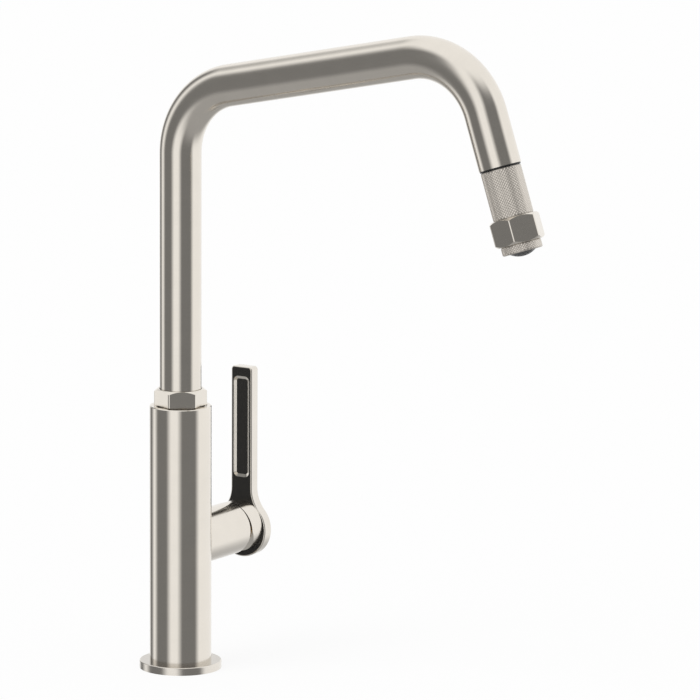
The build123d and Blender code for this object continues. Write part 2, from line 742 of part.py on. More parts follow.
# Bearing bush in the column, with a lip under the tube and a stop tooth
bearing_bore = tube_radius - tube_wall + 2 * running_gap
bearing_lip_z = bearing_low_z + bearing_lip
stop_slot_half = spout_swing + stop_tooth_half + stop_tooth_margin
with BuildPart() as spout_bearing:
    with BuildSketch(Plane.XY.offset(bearing_low_z)):
        Circle(column_bore - seat_gap)
        Circle(bearing_bore, mode=Mode.SUBTRACT)
    extrude(amount=bearing_lip)
    with BuildSketch(Plane.XY.offset(bearing_lip_z)):
        Circle(column_bore - seat_gap)
        Circle(tube_radius + running_gap, mode=Mode.SUBTRACT)
    extrude(amount=bearing_length - bearing_lip)
    with BuildSketch(upright_plane(stop_tooth_turn - stop_tooth_half)):
        with BuildLine():
            Polyline((bearing_bore, bearing_lip_z),
                     (tube_radius + stop_tooth_root, bearing_lip_z),
                     (tube_radius + stop_tooth_root, bearing_lip_z + stop_tooth_height),
                     (bearing_bore, bearing_lip_z + stop_tooth_height),
                     close=True)
        make_face()
    revolve(axis=Axis.Z, revolution_arc=2 * stop_tooth_half)
spout_bearing.part.label = "spout_bearing"

with BuildPart() as thrust_washer:
    with BuildSketch(Plane.XY.offset(bearing_top_z)):
        Circle(socket_radius - free_gap)
        Circle(tube_radius + free_gap, mode=Mode.SUBTRACT)
    extrude(amount=thrust_height)
thrust_washer.part.label = "thrust_washer"

# Spout tube, swept along its bent centre line, with a stop slot and a ring groove
with BuildPart() as spout_tube:
    with BuildLine() as spout_line:
        FilletPolyline((0, 0, tube_low_z), corner_low, corner_high, tube_end,
                       radius=bend_radius)
    with BuildSketch(Plane.XY.offset(tube_low_z)):
        Circle(tube_radius)
        Circle(tube_radius - tube_wall, mode=Mode.SUBTRACT)
    sweep(path=spout_line.line)
    with BuildSketch(Plane.XY.offset(ring_low_z - face_gap)):
        Circle(tube_radius + cut_over)
        Circle(tube_radius - snap_ring_groove, mode=Mode.SUBTRACT)
    extrude(amount=snap_ring_height + 2 * face_gap, mode=Mode.SUBTRACT)
    with BuildSketch(upright_plane(stop_tooth_turn - stop_slot_half)):
        with Locations((0, tube_low_z)):
            Rectangle(tube_radius + cut_over, stop_tooth_height + free_gap,
                      align=(Align.MIN, Align.MIN))
    revolve(axis=Axis.Z, revolution_arc=2 * stop_slot_half, mode=Mode.SUBTRACT)
spout_tube.part.label = "spout_tube"
print("spout tube volume", spout_tube.part.volume, "path length", spout_line.wire().length)

with BuildPart() as spout_snap_ring:
    with BuildSketch(Plane.XY.offset(ring_low_z)):
        Circle(snap_ring_radius)
        Circle(tube_radius - snap_ring_groove + seat_gap, mode=Mode.SUBTRACT)
    extrude(amount=snap_ring_height)
    with BuildSketch(upright_plane(stop_tooth_turn - snap_ring_opening / 2)):
        with Locations((0, ring_low_z - cut_over)):
            Rectangle(snap_ring_radius + cut_over, snap_ring_height + 2 * cut_over,
                      align=(Align.MIN, Align.MIN))
    revolve(axis=Axis.Z, revolution_arc=snap_ring_opening, mode=Mode.SUBTRACT)
spout_snap_ring.part.label = "spout_snap_ring"

# Docking bush: its black flange shows between the tube and the spray head
with BuildPart() as docking_bush:
    with BuildSketch(leg_plane):
        Circle(dock_flange_radius)
    extrude(amount=dock_flange)
    with BuildSketch(leg_plane):
        Circle(tube_radius - tube_wall - seat_gap)
    extrude(amount=-dock_depth)
    with BuildSketch(leg_plane.offset(-dock_depth)):
        Circle(dock_bore)
    extrude(amount=dock_depth + dock_flange, mode=Mode.SUBTRACT)
docking_bush.part.label = "docking_bush"

# Hose: up the shank, past the valve body and along the spout's centre line
hose_low_z = shank_low_z - hose_tail_drop
hose_end = tube_end - leg_way * ferrule_start
with BuildPart() as pull_out_hose:
    with BuildLine() as hose_line:
        FilletPolyline((0, -hose_offset, hose_low_z),
                       (0, -hose_offset, hose_shift_low_z),
                       (0, 0, hose_shift_high_z),
                       corner_low, corner_high, hose_end,
                       radius=[hose_shift_radius, hose_shift_radius, bend_radius, bend_radius])
    with BuildSketch(Plane.XY.offset(hose_low_z)):
        with Locations((0, -hose_offset)):
            Circle(hose_radius)
            Circle(hose_bore, mode=Mode.SUBTRACT)
    sweep(path=hose_line.line)
pull_out_hose.part.label = "pull_out_hose"
print("hose radii", hose_shift_radius, hose_shift_radius, bend_radius, bend_radius)
print("hose length", hose_line.wire().length, "volume", pull_out_hose.part.volume,
      "section times length",
      pi * (hose_radius ** 2 - hose_bore ** 2) * hose_line.wire().length)

tail_plane = Plane(origin=(0, -hose_offset, hose_low_z), x_dir=(1, 0, 0), z_dir=(0, 0, -1))
with BuildPart() as hose_tail_connector:
    with BuildSketch(tail_plane):
        RegularPolygon(tail_hex_flats / 2, 6, major_radius=False)
    extrude(amount=tail_hex_height)
    with BuildSketch(tail_plane.offset(tail_hex_height)):
        Circle(tail_stem_radius)
    extrude(amount=tail_stem)
    with BuildSketch(tail_plane):
        Circle(hose_bore - free_gap)
    extrude(amount=tail_hex_height + tail_stem, mode=Mode.SUBTRACT)
hose_tail_connector.part.label = "hose_tail_connector"

# Hose ferrule: crimped collar, stem and the swivel head that the hose nut traps
ferrule_groove = -(nut_end + ferrule_head_end) / 2 - seal_cord
with BuildPart() as hose_ferrule:
    with BuildSketch(leg_plane.offset(-ferrule_start)):
        Circle(ferrule_radius)
    extrude(amount=ferrule_collar)
    with BuildSketch(leg_plane.offset(-ferrule_start + ferrule_collar)):
        Circle(ferrule_stem)
    extrude(amount=ferrule_start - ferrule_collar - ferrule_head_end)
    with BuildSketch(leg_plane.offset(-nut_end + face_gap)):
        Circle(ferrule_head)
    extrude(amount=nut_end - face_gap - ferrule_head_end)
    with BuildSketch(leg_plane.offset(-ferrule_start)):
        Circle(hose_bore - free_gap)
    extrude(amount=ferrule_start, mode=Mode.SUBTRACT)
    with BuildSketch(leg_plane.offset(ferrule_groove)):
        Circle(ferrule_head + cut_over)
        Circle(ferrule_head - 2 * seal_cord, mode=Mode.SUBTRACT)
    extrude(amount=2 * seal_cord, mode=Mode.SUBTRACT)
hose_ferrule.part.label = "hose_ferrule"

with BuildPart() as ferrule_o_ring:
    with BuildSketch(leg_plane.offset(ferrule_groove + face_gap)):
        Circle(ferrule_head)
        Circle(ferrule_head - 2 * seal_cord + seat_gap, mode=Mode.SUBTRACT)
    extrude(amount=2 * seal_cord - 2 * face_gap)
ferrule_o_ring.part.label = "ferrule_o_ring"

# Core of the spray head: docking nose, water passage and the thread for the collar
nose_radius = dock_bore - running_gap
nose_groove = -nose_length / 2
core_bore_end = face_gap - ferrule_head_end
with BuildPart() as head_core:
    with BuildSketch(leg_plane.offset(-nose_length)):
        Circle(nose_radius)
    extrude(amount=nose_length + head_start)
    chamfer(head_core.edges().filter_by(GeomType.CIRCLE).group_by(Axis.Z)[-1],
            length=nose_chamfer)
    with BuildSketch(leg_plane.offset(head_start)):
        Circle(grip_bore - seat_gap)
    extrude(amount=core_end - head_start)
    with BuildSketch(leg_plane.offset(-nose_length)):
        Circle(core_bore)
    extrude(amount=nose_length + core_bore_end, mode=Mode.SUBTRACT)
    with BuildSketch(leg_plane.offset(core_bore_end)):
        Circle(water_radius)
    extrude(amount=core_end - core_bore_end, mode=Mode.SUBTRACT)
    with BuildSketch(leg_plane.offset(check_start)):
        Circle(check_radius)
    extrude(amount=core_end - check_start, mode=Mode.SUBTRACT)
    with BuildSketch(leg_plane.offset(nose_groove)):
        Circle(nose_radius + cut_over)
        Circle(nose_radius - 2 * seal_cord, mode=Mode.SUBTRACT)
    extrude(amount=2 * seal_cord, mode=Mode.SUBTRACT)
head_core.part.label = "head_core"

with BuildPart() as dock_o_ring:
    with BuildSketch(leg_plane.offset(nose_groove + face_gap)):
        Circle(nose_radius)
        Circle(nose_radius - 2 * seal_cord + seat_gap, mode=Mode.SUBTRACT)
    extrude(amount=2 * seal_cord - 2 * face_gap)
dock_o_ring.part.label = "dock_o_ring"

with BuildPart() as hose_nut:
    with BuildSketch(leg_plane.offset(-nose_length + 2 * face_gap)):
        Circle(core_bore - seat_gap)
        Circle(nut_bore, mode=Mode.SUBTRACT)
    extrude(amount=nose_length - nut_end - 2 * face_gap)
hose_nut.part.label = "hose_nut"

with BuildPart() as inlet_filter:
    with BuildSketch(leg_plane.offset(filter_start)):
        Circle(water_radius - seat_gap)
        with PolarLocations(water_radius / 2, filter_holes):
            Circle(filter_hole, mode=Mode.SUBTRACT)
    extrude(amount=filter_height)
inlet_filter.part.label = "inlet_filter"

with BuildPart() as check_valve:
    with BuildSketch(leg_plane.offset(check_start)):
        Circle(check_radius - seat_gap)
    extrude(amount=check_length)
    with BuildSketch(leg_plane.offset(check_start)):
        Circle(water_radius / 2)
    extrude(amount=check_length, mode=Mode.SUBTRACT)
check_valve.part.label = "check_valve"

with BuildPart() as grip_sleeve:
    with BuildSketch(leg_plane.offset(head_start)):
        Circle(grip_radius)
        Circle(grip_bore, mode=Mode.SUBTRACT)
    extrude(amount=grip_length)
    chamfer(grip_sleeve.edges().filter_by(GeomType.CIRCLE).group_by(SortBy.RADIUS)[-1],
            length=fine_edge)
grip_sleeve.part.label = "grip_sleeve"

collar_mid_radius = collar_flats / 2
with BuildPart() as hex_collar:
    with BuildSketch(leg_plane.offset(grip_end)) as collar_outline:
        RegularPolygon(collar_mid_radius, 6, major_radius=False, rotation=30 + collar_turn)
        fillet(collar_outline.vertices(), radius=collar_round)
    extrude(amount=collar_length)
    with BuildSketch(Plane(origin=leg_plane.origin, x_dir=leg_plane.x_dir,
                           z_dir=-leg_plane.y_dir)):
        with BuildLine():
            Polyline(turned_ends(grip_end, collar_end, collar_flats, collar_bevel,
                                 collar_bevel), close=True)
        make_face()
    revolve(axis=Axis(leg_plane.origin, leg_plane.z_dir), mode=Mode.INTERSECT)
    with BuildSketch(leg_plane.offset(grip_end)):
        Circle(grip_bore)
    extrude(amount=collar_length, mode=Mode.SUBTRACT)
hex_collar.part.label = "hex_collar"

with BuildPart() as aerator_ring:
    with BuildSketch(leg_plane.offset(collar_end)):
        Circle(ring_radius)
    extrude(amount=ring_length)
    chamfer(aerator_ring.edges().group_by(Axis.Z)[0], length=ring_edge)
    with BuildSketch(leg_plane.offset(collar_end)):
        Circle(aerator_radius + seat_gap)
    extrude(amount=ring_length - aerator_seat, mode=Mode.SUBTRACT)
    with BuildSketch(leg_plane.offset(collar_end)):
        Circle(ring_mouth)
    extrude(amount=ring_length, mode=Mode.SUBTRACT)
aerator_ring.part.label = "aerator_ring"

with BuildPart() as aerator_seal:
    with BuildSketch(leg_plane.offset(core_end)):
        Circle(aerator_radius)
        Circle(water_radius, mode=Mode.SUBTRACT)
    extrude(amount=aerator_gasket)
aerator_seal.part.label = "aerator_seal"

# Aerator: a flanged insert with a domed face and rings of jets
aerator_low = core_end + aerator_gasket
dome_bulge = (aerator_dome_radius ** 2 + aerator_dome ** 2) / (2 * aerator_dome)
dome_plane = Plane(origin=leg_plane.origin, x_dir=leg_plane.x_dir, z_dir=-leg_plane.y_dir)
with BuildPart() as aerator:
    with BuildSketch(leg_plane.offset(aerator_low)):
        Circle(aerator_radius)
    extrude(amount=ring_end - aerator_seat - face_gap - aerator_low)
    with BuildSketch(dome_plane):
        with BuildLine():
            Line((0, aerator_low), (aerator_dome_radius, aerator_low))
            Line((aerator_dome_radius, aerator_low), (aerator_dome_radius, ring_end))
            RadiusArc((aerator_dome_radius, ring_end), (0, ring_end + aerator_dome),
                      -dome_bulge)
            Line((0, ring_end + aerator_dome), (0, aerator_low))
        make_face()
    revolve(axis=Axis(leg_plane.origin, leg_plane.z_dir))
    for circle in range(1, aerator_circles + 1):
        with BuildSketch(leg_plane.offset(aerator_low)):
            with PolarLocations(circle * aerator_circle_step, circle * aerator_circle_jets):
                Circle(aerator_hole)
        extrude(amount=ring_end + aerator_dome - aerator_low, mode=Mode.SUBTRACT)
aerator.part.label = "aerator"

pieces = [
    base_flange, base_gasket, mounting_shank, deck_rubber_washer, deck_steel_washer,
    mounting_nut, clamp_screws, column, valve_body, cartridge_housing, hub_sleeve,
    cartridge_base, cartridge_seals, fixed_disc, cartridge_body, cartridge_nut,
    moving_disc, disc_carrier, stem_yoke, pivot_pin, lever_stem, handle_cap,
    handle_set_screw, set_screw_plug, lever_handle, handle_end_cap, spout_nut,
    spout_bearing, thrust_washer, spout_tube, spout_snap_ring, docking_bush,
    pull_out_hose, hose_tail_connector, hose_ferrule, ferrule_o_ring, head_core,
    dock_o_ring, hose_nut, inlet_filter, check_valve, grip_sleeve, hex_collar,
    aerator_ring, aerator_seal, aerator,
]
os.makedirs("parts", exist_ok=True)
for piece in pieces:
    export_step(piece.part, "parts/" + piece.part.label + ".step")
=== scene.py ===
"""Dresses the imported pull-out kitchen faucet: its finishes, knurls, threads, hose and studio."""

import logging
import math
from collections.abc import Sequence
from dataclasses import dataclass, field
from enum import Enum

import bmesh
import bpy
from mathutils import Matrix, Vector


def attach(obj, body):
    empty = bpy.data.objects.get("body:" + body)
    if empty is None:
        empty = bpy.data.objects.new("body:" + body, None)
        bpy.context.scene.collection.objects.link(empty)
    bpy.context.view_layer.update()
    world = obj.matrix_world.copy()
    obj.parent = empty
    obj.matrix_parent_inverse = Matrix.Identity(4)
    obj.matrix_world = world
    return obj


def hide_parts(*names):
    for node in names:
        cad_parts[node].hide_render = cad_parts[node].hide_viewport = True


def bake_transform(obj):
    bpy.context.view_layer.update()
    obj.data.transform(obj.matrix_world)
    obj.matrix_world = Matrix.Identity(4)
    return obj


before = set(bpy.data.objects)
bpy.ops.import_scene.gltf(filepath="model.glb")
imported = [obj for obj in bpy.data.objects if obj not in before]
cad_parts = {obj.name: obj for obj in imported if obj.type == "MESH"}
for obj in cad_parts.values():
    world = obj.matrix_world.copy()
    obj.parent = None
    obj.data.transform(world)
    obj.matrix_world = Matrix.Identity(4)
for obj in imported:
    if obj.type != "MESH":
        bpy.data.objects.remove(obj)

LOG = logging.getLogger("faucet")
MM = 0.001
RELIEF = "raised"
SHARP_EDGE = math.radians(35)
THREAD_SHARP_EDGE = math.radians(50)
HAIRLINE_STRETCH = 60
CLOUD_SIZE = 14 * MM
FACING = 0.97
FADE_ROWS = 5
MERGE_DISTANCE = 0.002 * MM
RGB = tuple[float, float, float]


# ---------------------------------------------------------------- node helpers


class NodeSheet:
    """A node tree that is being drawn up, with short ways to add and join its nodes."""

    def __init__(self, tree: bpy.types.NodeTree) -> None:
        """Keep the tree that the nodes go into."""
        self.tree = tree

    def add(self, kind: str, **settings: object) -> bpy.types.Node:
        """Add a node.

        Args:
            kind: Blender's name of the node type.
            **settings: properties set on the node.

        Returns:
            The new node.
        """
        node = self.tree.nodes.new(kind)
        for name, value in settings.items():
            setattr(node, name, value)
        return node

    def feed(self, socket: bpy.types.NodeSocket, source: object) -> None:
        """Give an input a link or a plain value.

        Args:
            socket: the input.
            source: an output socket to link, or the value to set.
        """
        if isinstance(source, bpy.types.NodeSocket):
            self.tree.links.new(source, socket)
        else:
            socket.default_value = source

    def math(self, operation: str, *values: object, clamp: bool = False) -> bpy.types.NodeSocket:
        """Add a Math node.

        Args:
            operation: Blender's name of the operation.
            *values: its inputs in order, as sockets or numbers.
            clamp: whether the result is held between 0 and 1.

        Returns:
            The result's socket.
        """
        node = self.add("ShaderNodeMath", operation=operation, use_clamp=clamp)
        for socket, value in zip(node.inputs, values):
            self.feed(socket, value)
        return node.outputs[0]

    def noise(self, vector: object, scale: float, detail: float = 2.0) -> bpy.types.NodeSocket:
        """Add a Noise Texture.

        Args:
            vector: the coordinates, as a socket.
            scale: its scale.
            detail: its number of octaves.

        Returns:
            The socket of its value.
        """
        node = self.add("ShaderNodeTexNoise")
        self.feed(node.inputs["Vector"], vector)
        node.inputs["Scale"].default_value = scale
        node.inputs["Detail"].default_value = detail
        return node.outputs[0]

    def spread(self, source: object, low: float, high: float) -> bpy.types.NodeSocket:
        """Map 0 to 1 onto low to high.

        Args:
            source: the socket to map.
            low: the result at 0.
            high: the result at 1.

        Returns:
            The result's socket.
        """
        node = self.add("ShaderNodeMapRange")
        self.feed(node.inputs["Value"], source)
        node.inputs["To Min"].default_value = low
        node.inputs["To Max"].default_value = high
        return node.outputs[0]

    def ramp(self, source: object, stops: Sequence[tuple[float, RGB]],
             interpolation: str = "LINEAR") -> bpy.types.NodeSocket:
        """Add a Color Ramp.

        Args:
            source: the socket that is looked up.
            stops: position and colour of each stop.
            interpolation: how the ramp runs between its stops.

        Returns:
            The socket of its colour.
        """
        node = self.add("ShaderNodeValToRGB")
        node.color_ramp.interpolation = interpolation
        elements = node.color_ramp.elements
        while len(elements) < len(stops):
            elements.new(1.0)
        for element, (position, colour) in zip(elements, stops):
            element.position = position
            element.color = (*colour, 1.0)
        self.feed(node.inputs[0], source)
        return node.outputs[0]

    def rays(self) -> tuple[bpy.types.NodeSocket, bpy.types.NodeSocket]:
        """Add a Light Path.

        Returns:
            The socket of the camera's rays, and that of reflected and transmitted rays.
        """
        path = self.add("ShaderNodeLightPath")
        shiny = self.math("MAXIMUM", path.outputs["Is Glossy Ray"],
                          path.outputs["Is Transmission Ray"])
        return path.outputs["Is Camera Ray"], shiny


# ---------------------------------------------------------------- finishes


class Grain(Enum):
    """The way a finish's hairlines run on its piece."""

    ROUND_Z = "round the upright axis"
    ROUND_Y = "round the hub's axis"
    ROUND_LEG = "round the leg's axis"
    ALONG_Z = "along an upright bar"
    ROUND_TUBE = "round a bent tube, read from its UV map"


@dataclass(frozen=True)
class PaintedFaceShade:
    """Painted shade on the faces of a piece that look one way: a darker colour and other metal on
    them.
    """

    way: RGB
    share: float
    metallic: float = 1.0


@dataclass(frozen=True)
class Finish:
    """A procedural finish: its colour, gloss and fine surface, with painted shade in knurl hollows
    and on faces that look one way where set.
    """

    name: str
    colour: RGB
    roughness: float
    metallic: float = 0.0
    hairline: float = 0.0
    hairline_size: float = 0.3 * MM
    speckle: float = 0.0
    speckle_size: float = 1.0 * MM
    shade_change: float = 0.04
    gloss_change: float = 0.05
    coat: float = 0.0
    anisotropy: float = 0.0
    depth: float = 0.02 * MM
    # share of the colour taken away in a knurl's hollows: painted shade
    painted_hollow_shade: float = 0.0
    # darkens the colour of the faces that look one way: painted shade
    painted_face_shade: PaintedFaceShade | None = None

    def _coordinates(self, sheet: NodeSheet, grain: Grain) -> tuple[object, object]:
        """Add the coordinates that the pattern is read at.

        Args:
            sheet: the material's node sheet.
            grain: the way the hairlines run.

        Returns:
            Plain coordinates in metres, and coordinates drawn out along the hairlines.
        """
        source = sheet.add("ShaderNodeTexCoord")
        plain = source.outputs["UV" if grain is Grain.ROUND_TUBE else "Object"]
        drawn = sheet.add("ShaderNodeMapping", vector_type="TEXTURE")
        sheet.feed(drawn.inputs["Vector"], plain)
        fine, long = self.hairline_size, HAIRLINE_STRETCH * self.hairline_size
        scales = {
            Grain.ROUND_Z: (long, long, fine),
            Grain.ROUND_Y: (long, fine, long),
            Grain.ROUND_LEG: (long, long, fine),
            Grain.ALONG_Z: (fine, long, long),
            Grain.ROUND_TUBE: (long, fine, long),
        }
        drawn.inputs["Scale"].default_value = scales[grain]
        if grain is Grain.ROUND_LEG:
            drawn.inputs["Rotation"].default_value = (0.0, -Route.lean, 0.0)
        return plain, drawn.outputs[0]

    def _comb(self, sheet: NodeSheet, shader: bpy.types.Node, grain: Grain) -> None:
        """Blur the reflections across the hairlines.

        Args:
            sheet: the material's node sheet.
            shader: the shader that takes the direction of the blur.
            grain: the way the hairlines run.
        """
        if grain is Grain.ROUND_TUBE:
            round_tube = sheet.add("ShaderNodeTangent", direction_type="UV_MAP")
            sheet.feed(shader.inputs["Tangent"], round_tube.outputs[0])
            shader.inputs["Anisotropic Rotation"].default_value = 0.25
            return
        across = {
            Grain.ROUND_Z: Vector((0, 0, 1)), Grain.ROUND_Y: Vector((0, 1, 0)),
            Grain.ROUND_LEG: ROUTE.leg_way, Grain.ALONG_Z: Vector((0.7, 0.7, 0)),
        }
        turned = sheet.add("ShaderNodeVectorTransform", vector_type="VECTOR",
                           convert_from="OBJECT", convert_to="WORLD")
        turned.inputs[0].default_value = across[grain]
        sheet.feed(shader.inputs["Tangent"], turned.outputs[0])

    def _paint_hollow_shade(self, sheet: NodeSheet, colour: object) -> bpy.types.NodeSocket:
        """Paint shade into a colour in the hollows between a knurl's points, where less light
        reaches.

        Args:
            sheet: the material's node sheet.
            colour: the colour on the points.

        Returns:
            The socket of the shaded colour.
        """
        raised = sheet.add("ShaderNodeAttribute", attribute_name=RELIEF).outputs["Fac"]
        shaded = sheet.add("ShaderNodeVectorMath", operation="SCALE")
        sheet.feed(shaded.inputs[0], colour)
        sheet.feed(shaded.inputs["Scale"], sheet.spread(raised, 1 - self.painted_hollow_shade, 1.0))
        return shaded.outputs[0]

    def _paint_face_shade(self, sheet: NodeSheet, shader: bpy.types.Node,
                    colour: object) -> bpy.types.NodeSocket:
        """Paint shade into the colour, and change the metal, of the faces that look the painted
        shade's way.

        Args:
            sheet: the material's node sheet.
            shader: the shader that takes the surface.
            colour: the colour on every other face.

        Returns:
            The socket of the changed colour.
        """
        facing = sheet.add("ShaderNodeVectorMath", operation="DOT_PRODUCT")
        sheet.feed(facing.inputs[0], sheet.add("ShaderNodeTexCoord").outputs["Normal"])
        facing.inputs[1].default_value = self.painted_face_shade.way
        share = sheet.math("GREATER_THAN", facing.outputs["Value"], FACING)
        changed = sheet.add("ShaderNodeVectorMath", operation="SCALE")
        sheet.feed(changed.inputs[0], colour)
        sheet.feed(changed.inputs["Scale"], sheet.spread(share, 1.0, self.painted_face_shade.share))
        sheet.feed(shader.inputs["Metallic"],
                   sheet.spread(share, self.metallic, self.painted_face_shade.metallic))
        return changed.outputs[0]

    def make(self, grain: Grain = Grain.ROUND_Z) -> bpy.types.Material:
        """Build the material, or find it again.

        Args:
            grain: the way the hairlines run.

        Returns:
            The material.
        """
        title = f"{self.name} {grain.name.lower()}"
        known = bpy.data.materials.get(title)
        if known:
            return known
        material = bpy.data.materials.new(title)
        material.use_nodes = True
        sheet = NodeSheet(material.node_tree)
        shader = material.node_tree.nodes["Principled BSDF"]
        shader.inputs["Metallic"].default_value = self.metallic
        shader.inputs["Coat Weight"].default_value = self.coat
        shader.inputs["Anisotropic"].default_value = self.anisotropy
        plain, drawn = self._coordinates(sheet, grain)
        cloud = sheet.noise(plain, 1 / CLOUD_SIZE, 3)
        lines = sheet.noise(drawn, 1.0, 2)
        dots = sheet.noise(plain, 1 / self.speckle_size, 2)

        dark = tuple(channel * (1 - self.shade_change) for channel in self.colour)
        light = tuple(min(1.0, channel * (1 + self.shade_change)) for channel in self.colour)
        mixed = sheet.math("ADD", sheet.math("MULTIPLY", cloud, 0.5),
                           sheet.math("MULTIPLY", lines, 0.5))
        colour = sheet.ramp(mixed, [(0.3, dark), (0.7, light)])
        # painted shade: the colour is darkened in the knurl's hollows
        if self.painted_hollow_shade:
            colour = self._paint_hollow_shade(sheet, colour)
        # painted shade on the faces that look one way
        if self.painted_face_shade:
            colour = self._paint_face_shade(sheet, shader, colour)
        sheet.feed(shader.inputs["Base Color"], colour)
        sheet.feed(shader.inputs["Roughness"],
                   sheet.spread(mixed, max(0.02, self.roughness - self.gloss_change),
                                self.roughness + self.gloss_change))
        height = sheet.math("ADD", sheet.math("MULTIPLY", lines, self.hairline),
                            sheet.math("MULTIPLY", dots, self.speckle))
        if self.anisotropy:
            self._comb(sheet, shader, grain)
        bump = sheet.add("ShaderNodeBump")
        bump.inputs["Strength"].default_value = 1.0
        bump.inputs["Distance"].default_value = self.depth
        sheet.feed(bump.inputs["Height"], height)
        sheet.feed(shader.inputs["Normal"], bump.outputs[0])
        return material


NICKEL = Finish("brushed nickel", (0.80, 0.752, 0.68), 0.16, metallic=1.0, hairline=0.15,
                shade_change=0.03, gloss_change=0.02, anisotropy=0.8)
# the flange's top faces keep 0.74 of the colour: painted shade, standing in for a darker reflection
TURNED_NICKEL = Finish("turned nickel with painted top shade", (0.78, 0.735, 0.67), 0.18, metallic=1.0, hairline=0.15,
                       shade_change=0.03, gloss_change=0.02,
                       painted_face_shade=PaintedFaceShade((0.0, 0.0, 1.0), 0.74))
# the lever's faces that look along -Y are nearly black and not metal: a painted dark reflection
SATIN_NICKEL = Finish("fine satin nickel", (0.80, 0.757, 0.69), 0.14, metallic=1.0,
                      hairline=0.2, shade_change=0.03, gloss_change=0.02,
                      painted_face_shade=PaintedFaceShade((0.0, -1.0, 0.0), 0.028, metallic=0.0))
# the colour is darkened in the knurl's hollows: painted shade
KNURLED_NICKEL = Finish("knurled nickel with painted hollow shade", (0.97, 0.90, 0.81), 0.22, metallic=0.72, speckle=0.6,
                        speckle_size=0.6 * MM, shade_change=0.03, painted_hollow_shade=0.45)
BRASS = Finish("machined brass", (0.78, 0.56, 0.27), 0.28, metallic=1.0, hairline=0.8,
               shade_change=0.08)
ZINC_STEEL = Finish("zinc plated steel", (0.62, 0.63, 0.64), 0.34, metallic=1.0, hairline=0.4,
                    speckle=0.6, shade_change=0.10)
SEAL_RUBBER = Finish("seal rubber", (0.022, 0.022, 0.022), 0.62, speckle=1.5,
                     speckle_size=0.4 * MM, shade_change=0.25)
WHITE_POLYMER = Finish("white polymer", (0.80, 0.80, 0.77), 0.45, speckle=0.8,
                       speckle_size=0.5 * MM)
BLACK_POLYMER = Finish("black polymer", (0.018, 0.018, 0.018), 0.42, speckle=0.8,
                       speckle_size=0.4 * MM, shade_change=0.2)
DARK_POLYMER = Finish("dark satin polymer", (0.045, 0.045, 0.045), 0.33, speckle=0.5,
                      speckle_size=0.4 * MM, shade_change=0.15, coat=0.2)
CERAMIC = Finish("lapped ceramic", (0.86, 0.84, 0.80), 0.12, speckle=0.15,
                 speckle_size=0.2 * MM, shade_change=0.02, coat=0.4)


@dataclass(frozen=True)
class Braid:
    """The woven sleeve of the pull-out hose, read from the hose's UV map."""

    name: str = "woven hose sleeve"
    yarn: RGB = (0.30, 0.30, 0.31)
    gap: RGB = (0.05, 0.05, 0.055)
    strands: int = 24
    roughness: float = 0.55

    def make(self) -> bpy.types.Material:
        """Build the material, or find it again."""
        known = bpy.data.materials.get(self.name)
        if known:
            return known
        material = bpy.data.materials.new(self.name)
        material.use_nodes = True
        sheet = NodeSheet(material.node_tree)
        shader = material.node_tree.nodes["Principled BSDF"]
        shader.inputs["Roughness"].default_value = self.roughness
        shader.inputs["Sheen Weight"].default_value = 0.25
        split = sheet.add("ShaderNodeSeparateXYZ")
        sheet.feed(split.inputs[0], sheet.add("ShaderNodeTexCoord").outputs["UV"])
        turn = 2 * math.pi * Hose.radius
        per_metre = self.strands / turn
        across = sheet.math("MULTIPLY", split.outputs[0], per_metre)
        along = sheet.math("MULTIPLY", split.outputs[1], per_metre)
        right = self._strand(sheet, sheet.math("ADD", across, along))
        left = self._strand(sheet, sheet.math("SUBTRACT", across, along))
        over = sheet.math("SINE", sheet.math("MULTIPLY", across, math.pi))
        under = sheet.math("SINE", sheet.math("MULTIPLY", along, math.pi))
        turns = sheet.math("MULTIPLY", over, under)
        height = sheet.math("MAXIMUM", sheet.math("ADD", right, sheet.math("MULTIPLY", turns, 0.3)),
                            sheet.math("SUBTRACT", left, sheet.math("MULTIPLY", turns, 0.3)))
        sheet.feed(shader.inputs["Base Color"],
                   sheet.ramp(height, [(0.25, self.gap), (0.7, self.yarn)]))
        bump = sheet.add("ShaderNodeBump")
        bump.inputs["Distance"].default_value = 0.25 * MM
        sheet.feed(bump.inputs["Height"], height)
        sheet.feed(shader.inputs["Normal"], bump.outputs[0])
        return material

    def _strand(self, sheet: NodeSheet, place: object) -> bpy.types.NodeSocket:
        """Add one family of round strands.

        Args:
            sheet: the material's node sheet.
            place: the position across the strands, one strand to each whole number.

        Returns:
            The socket of the strands' height, from 0 to 1.
        """
        return sheet.math("ABSOLUTE", sheet.math("SINE", sheet.math("MULTIPLY", place, math.pi)))


# ---------------------------------------------------------------- meshes


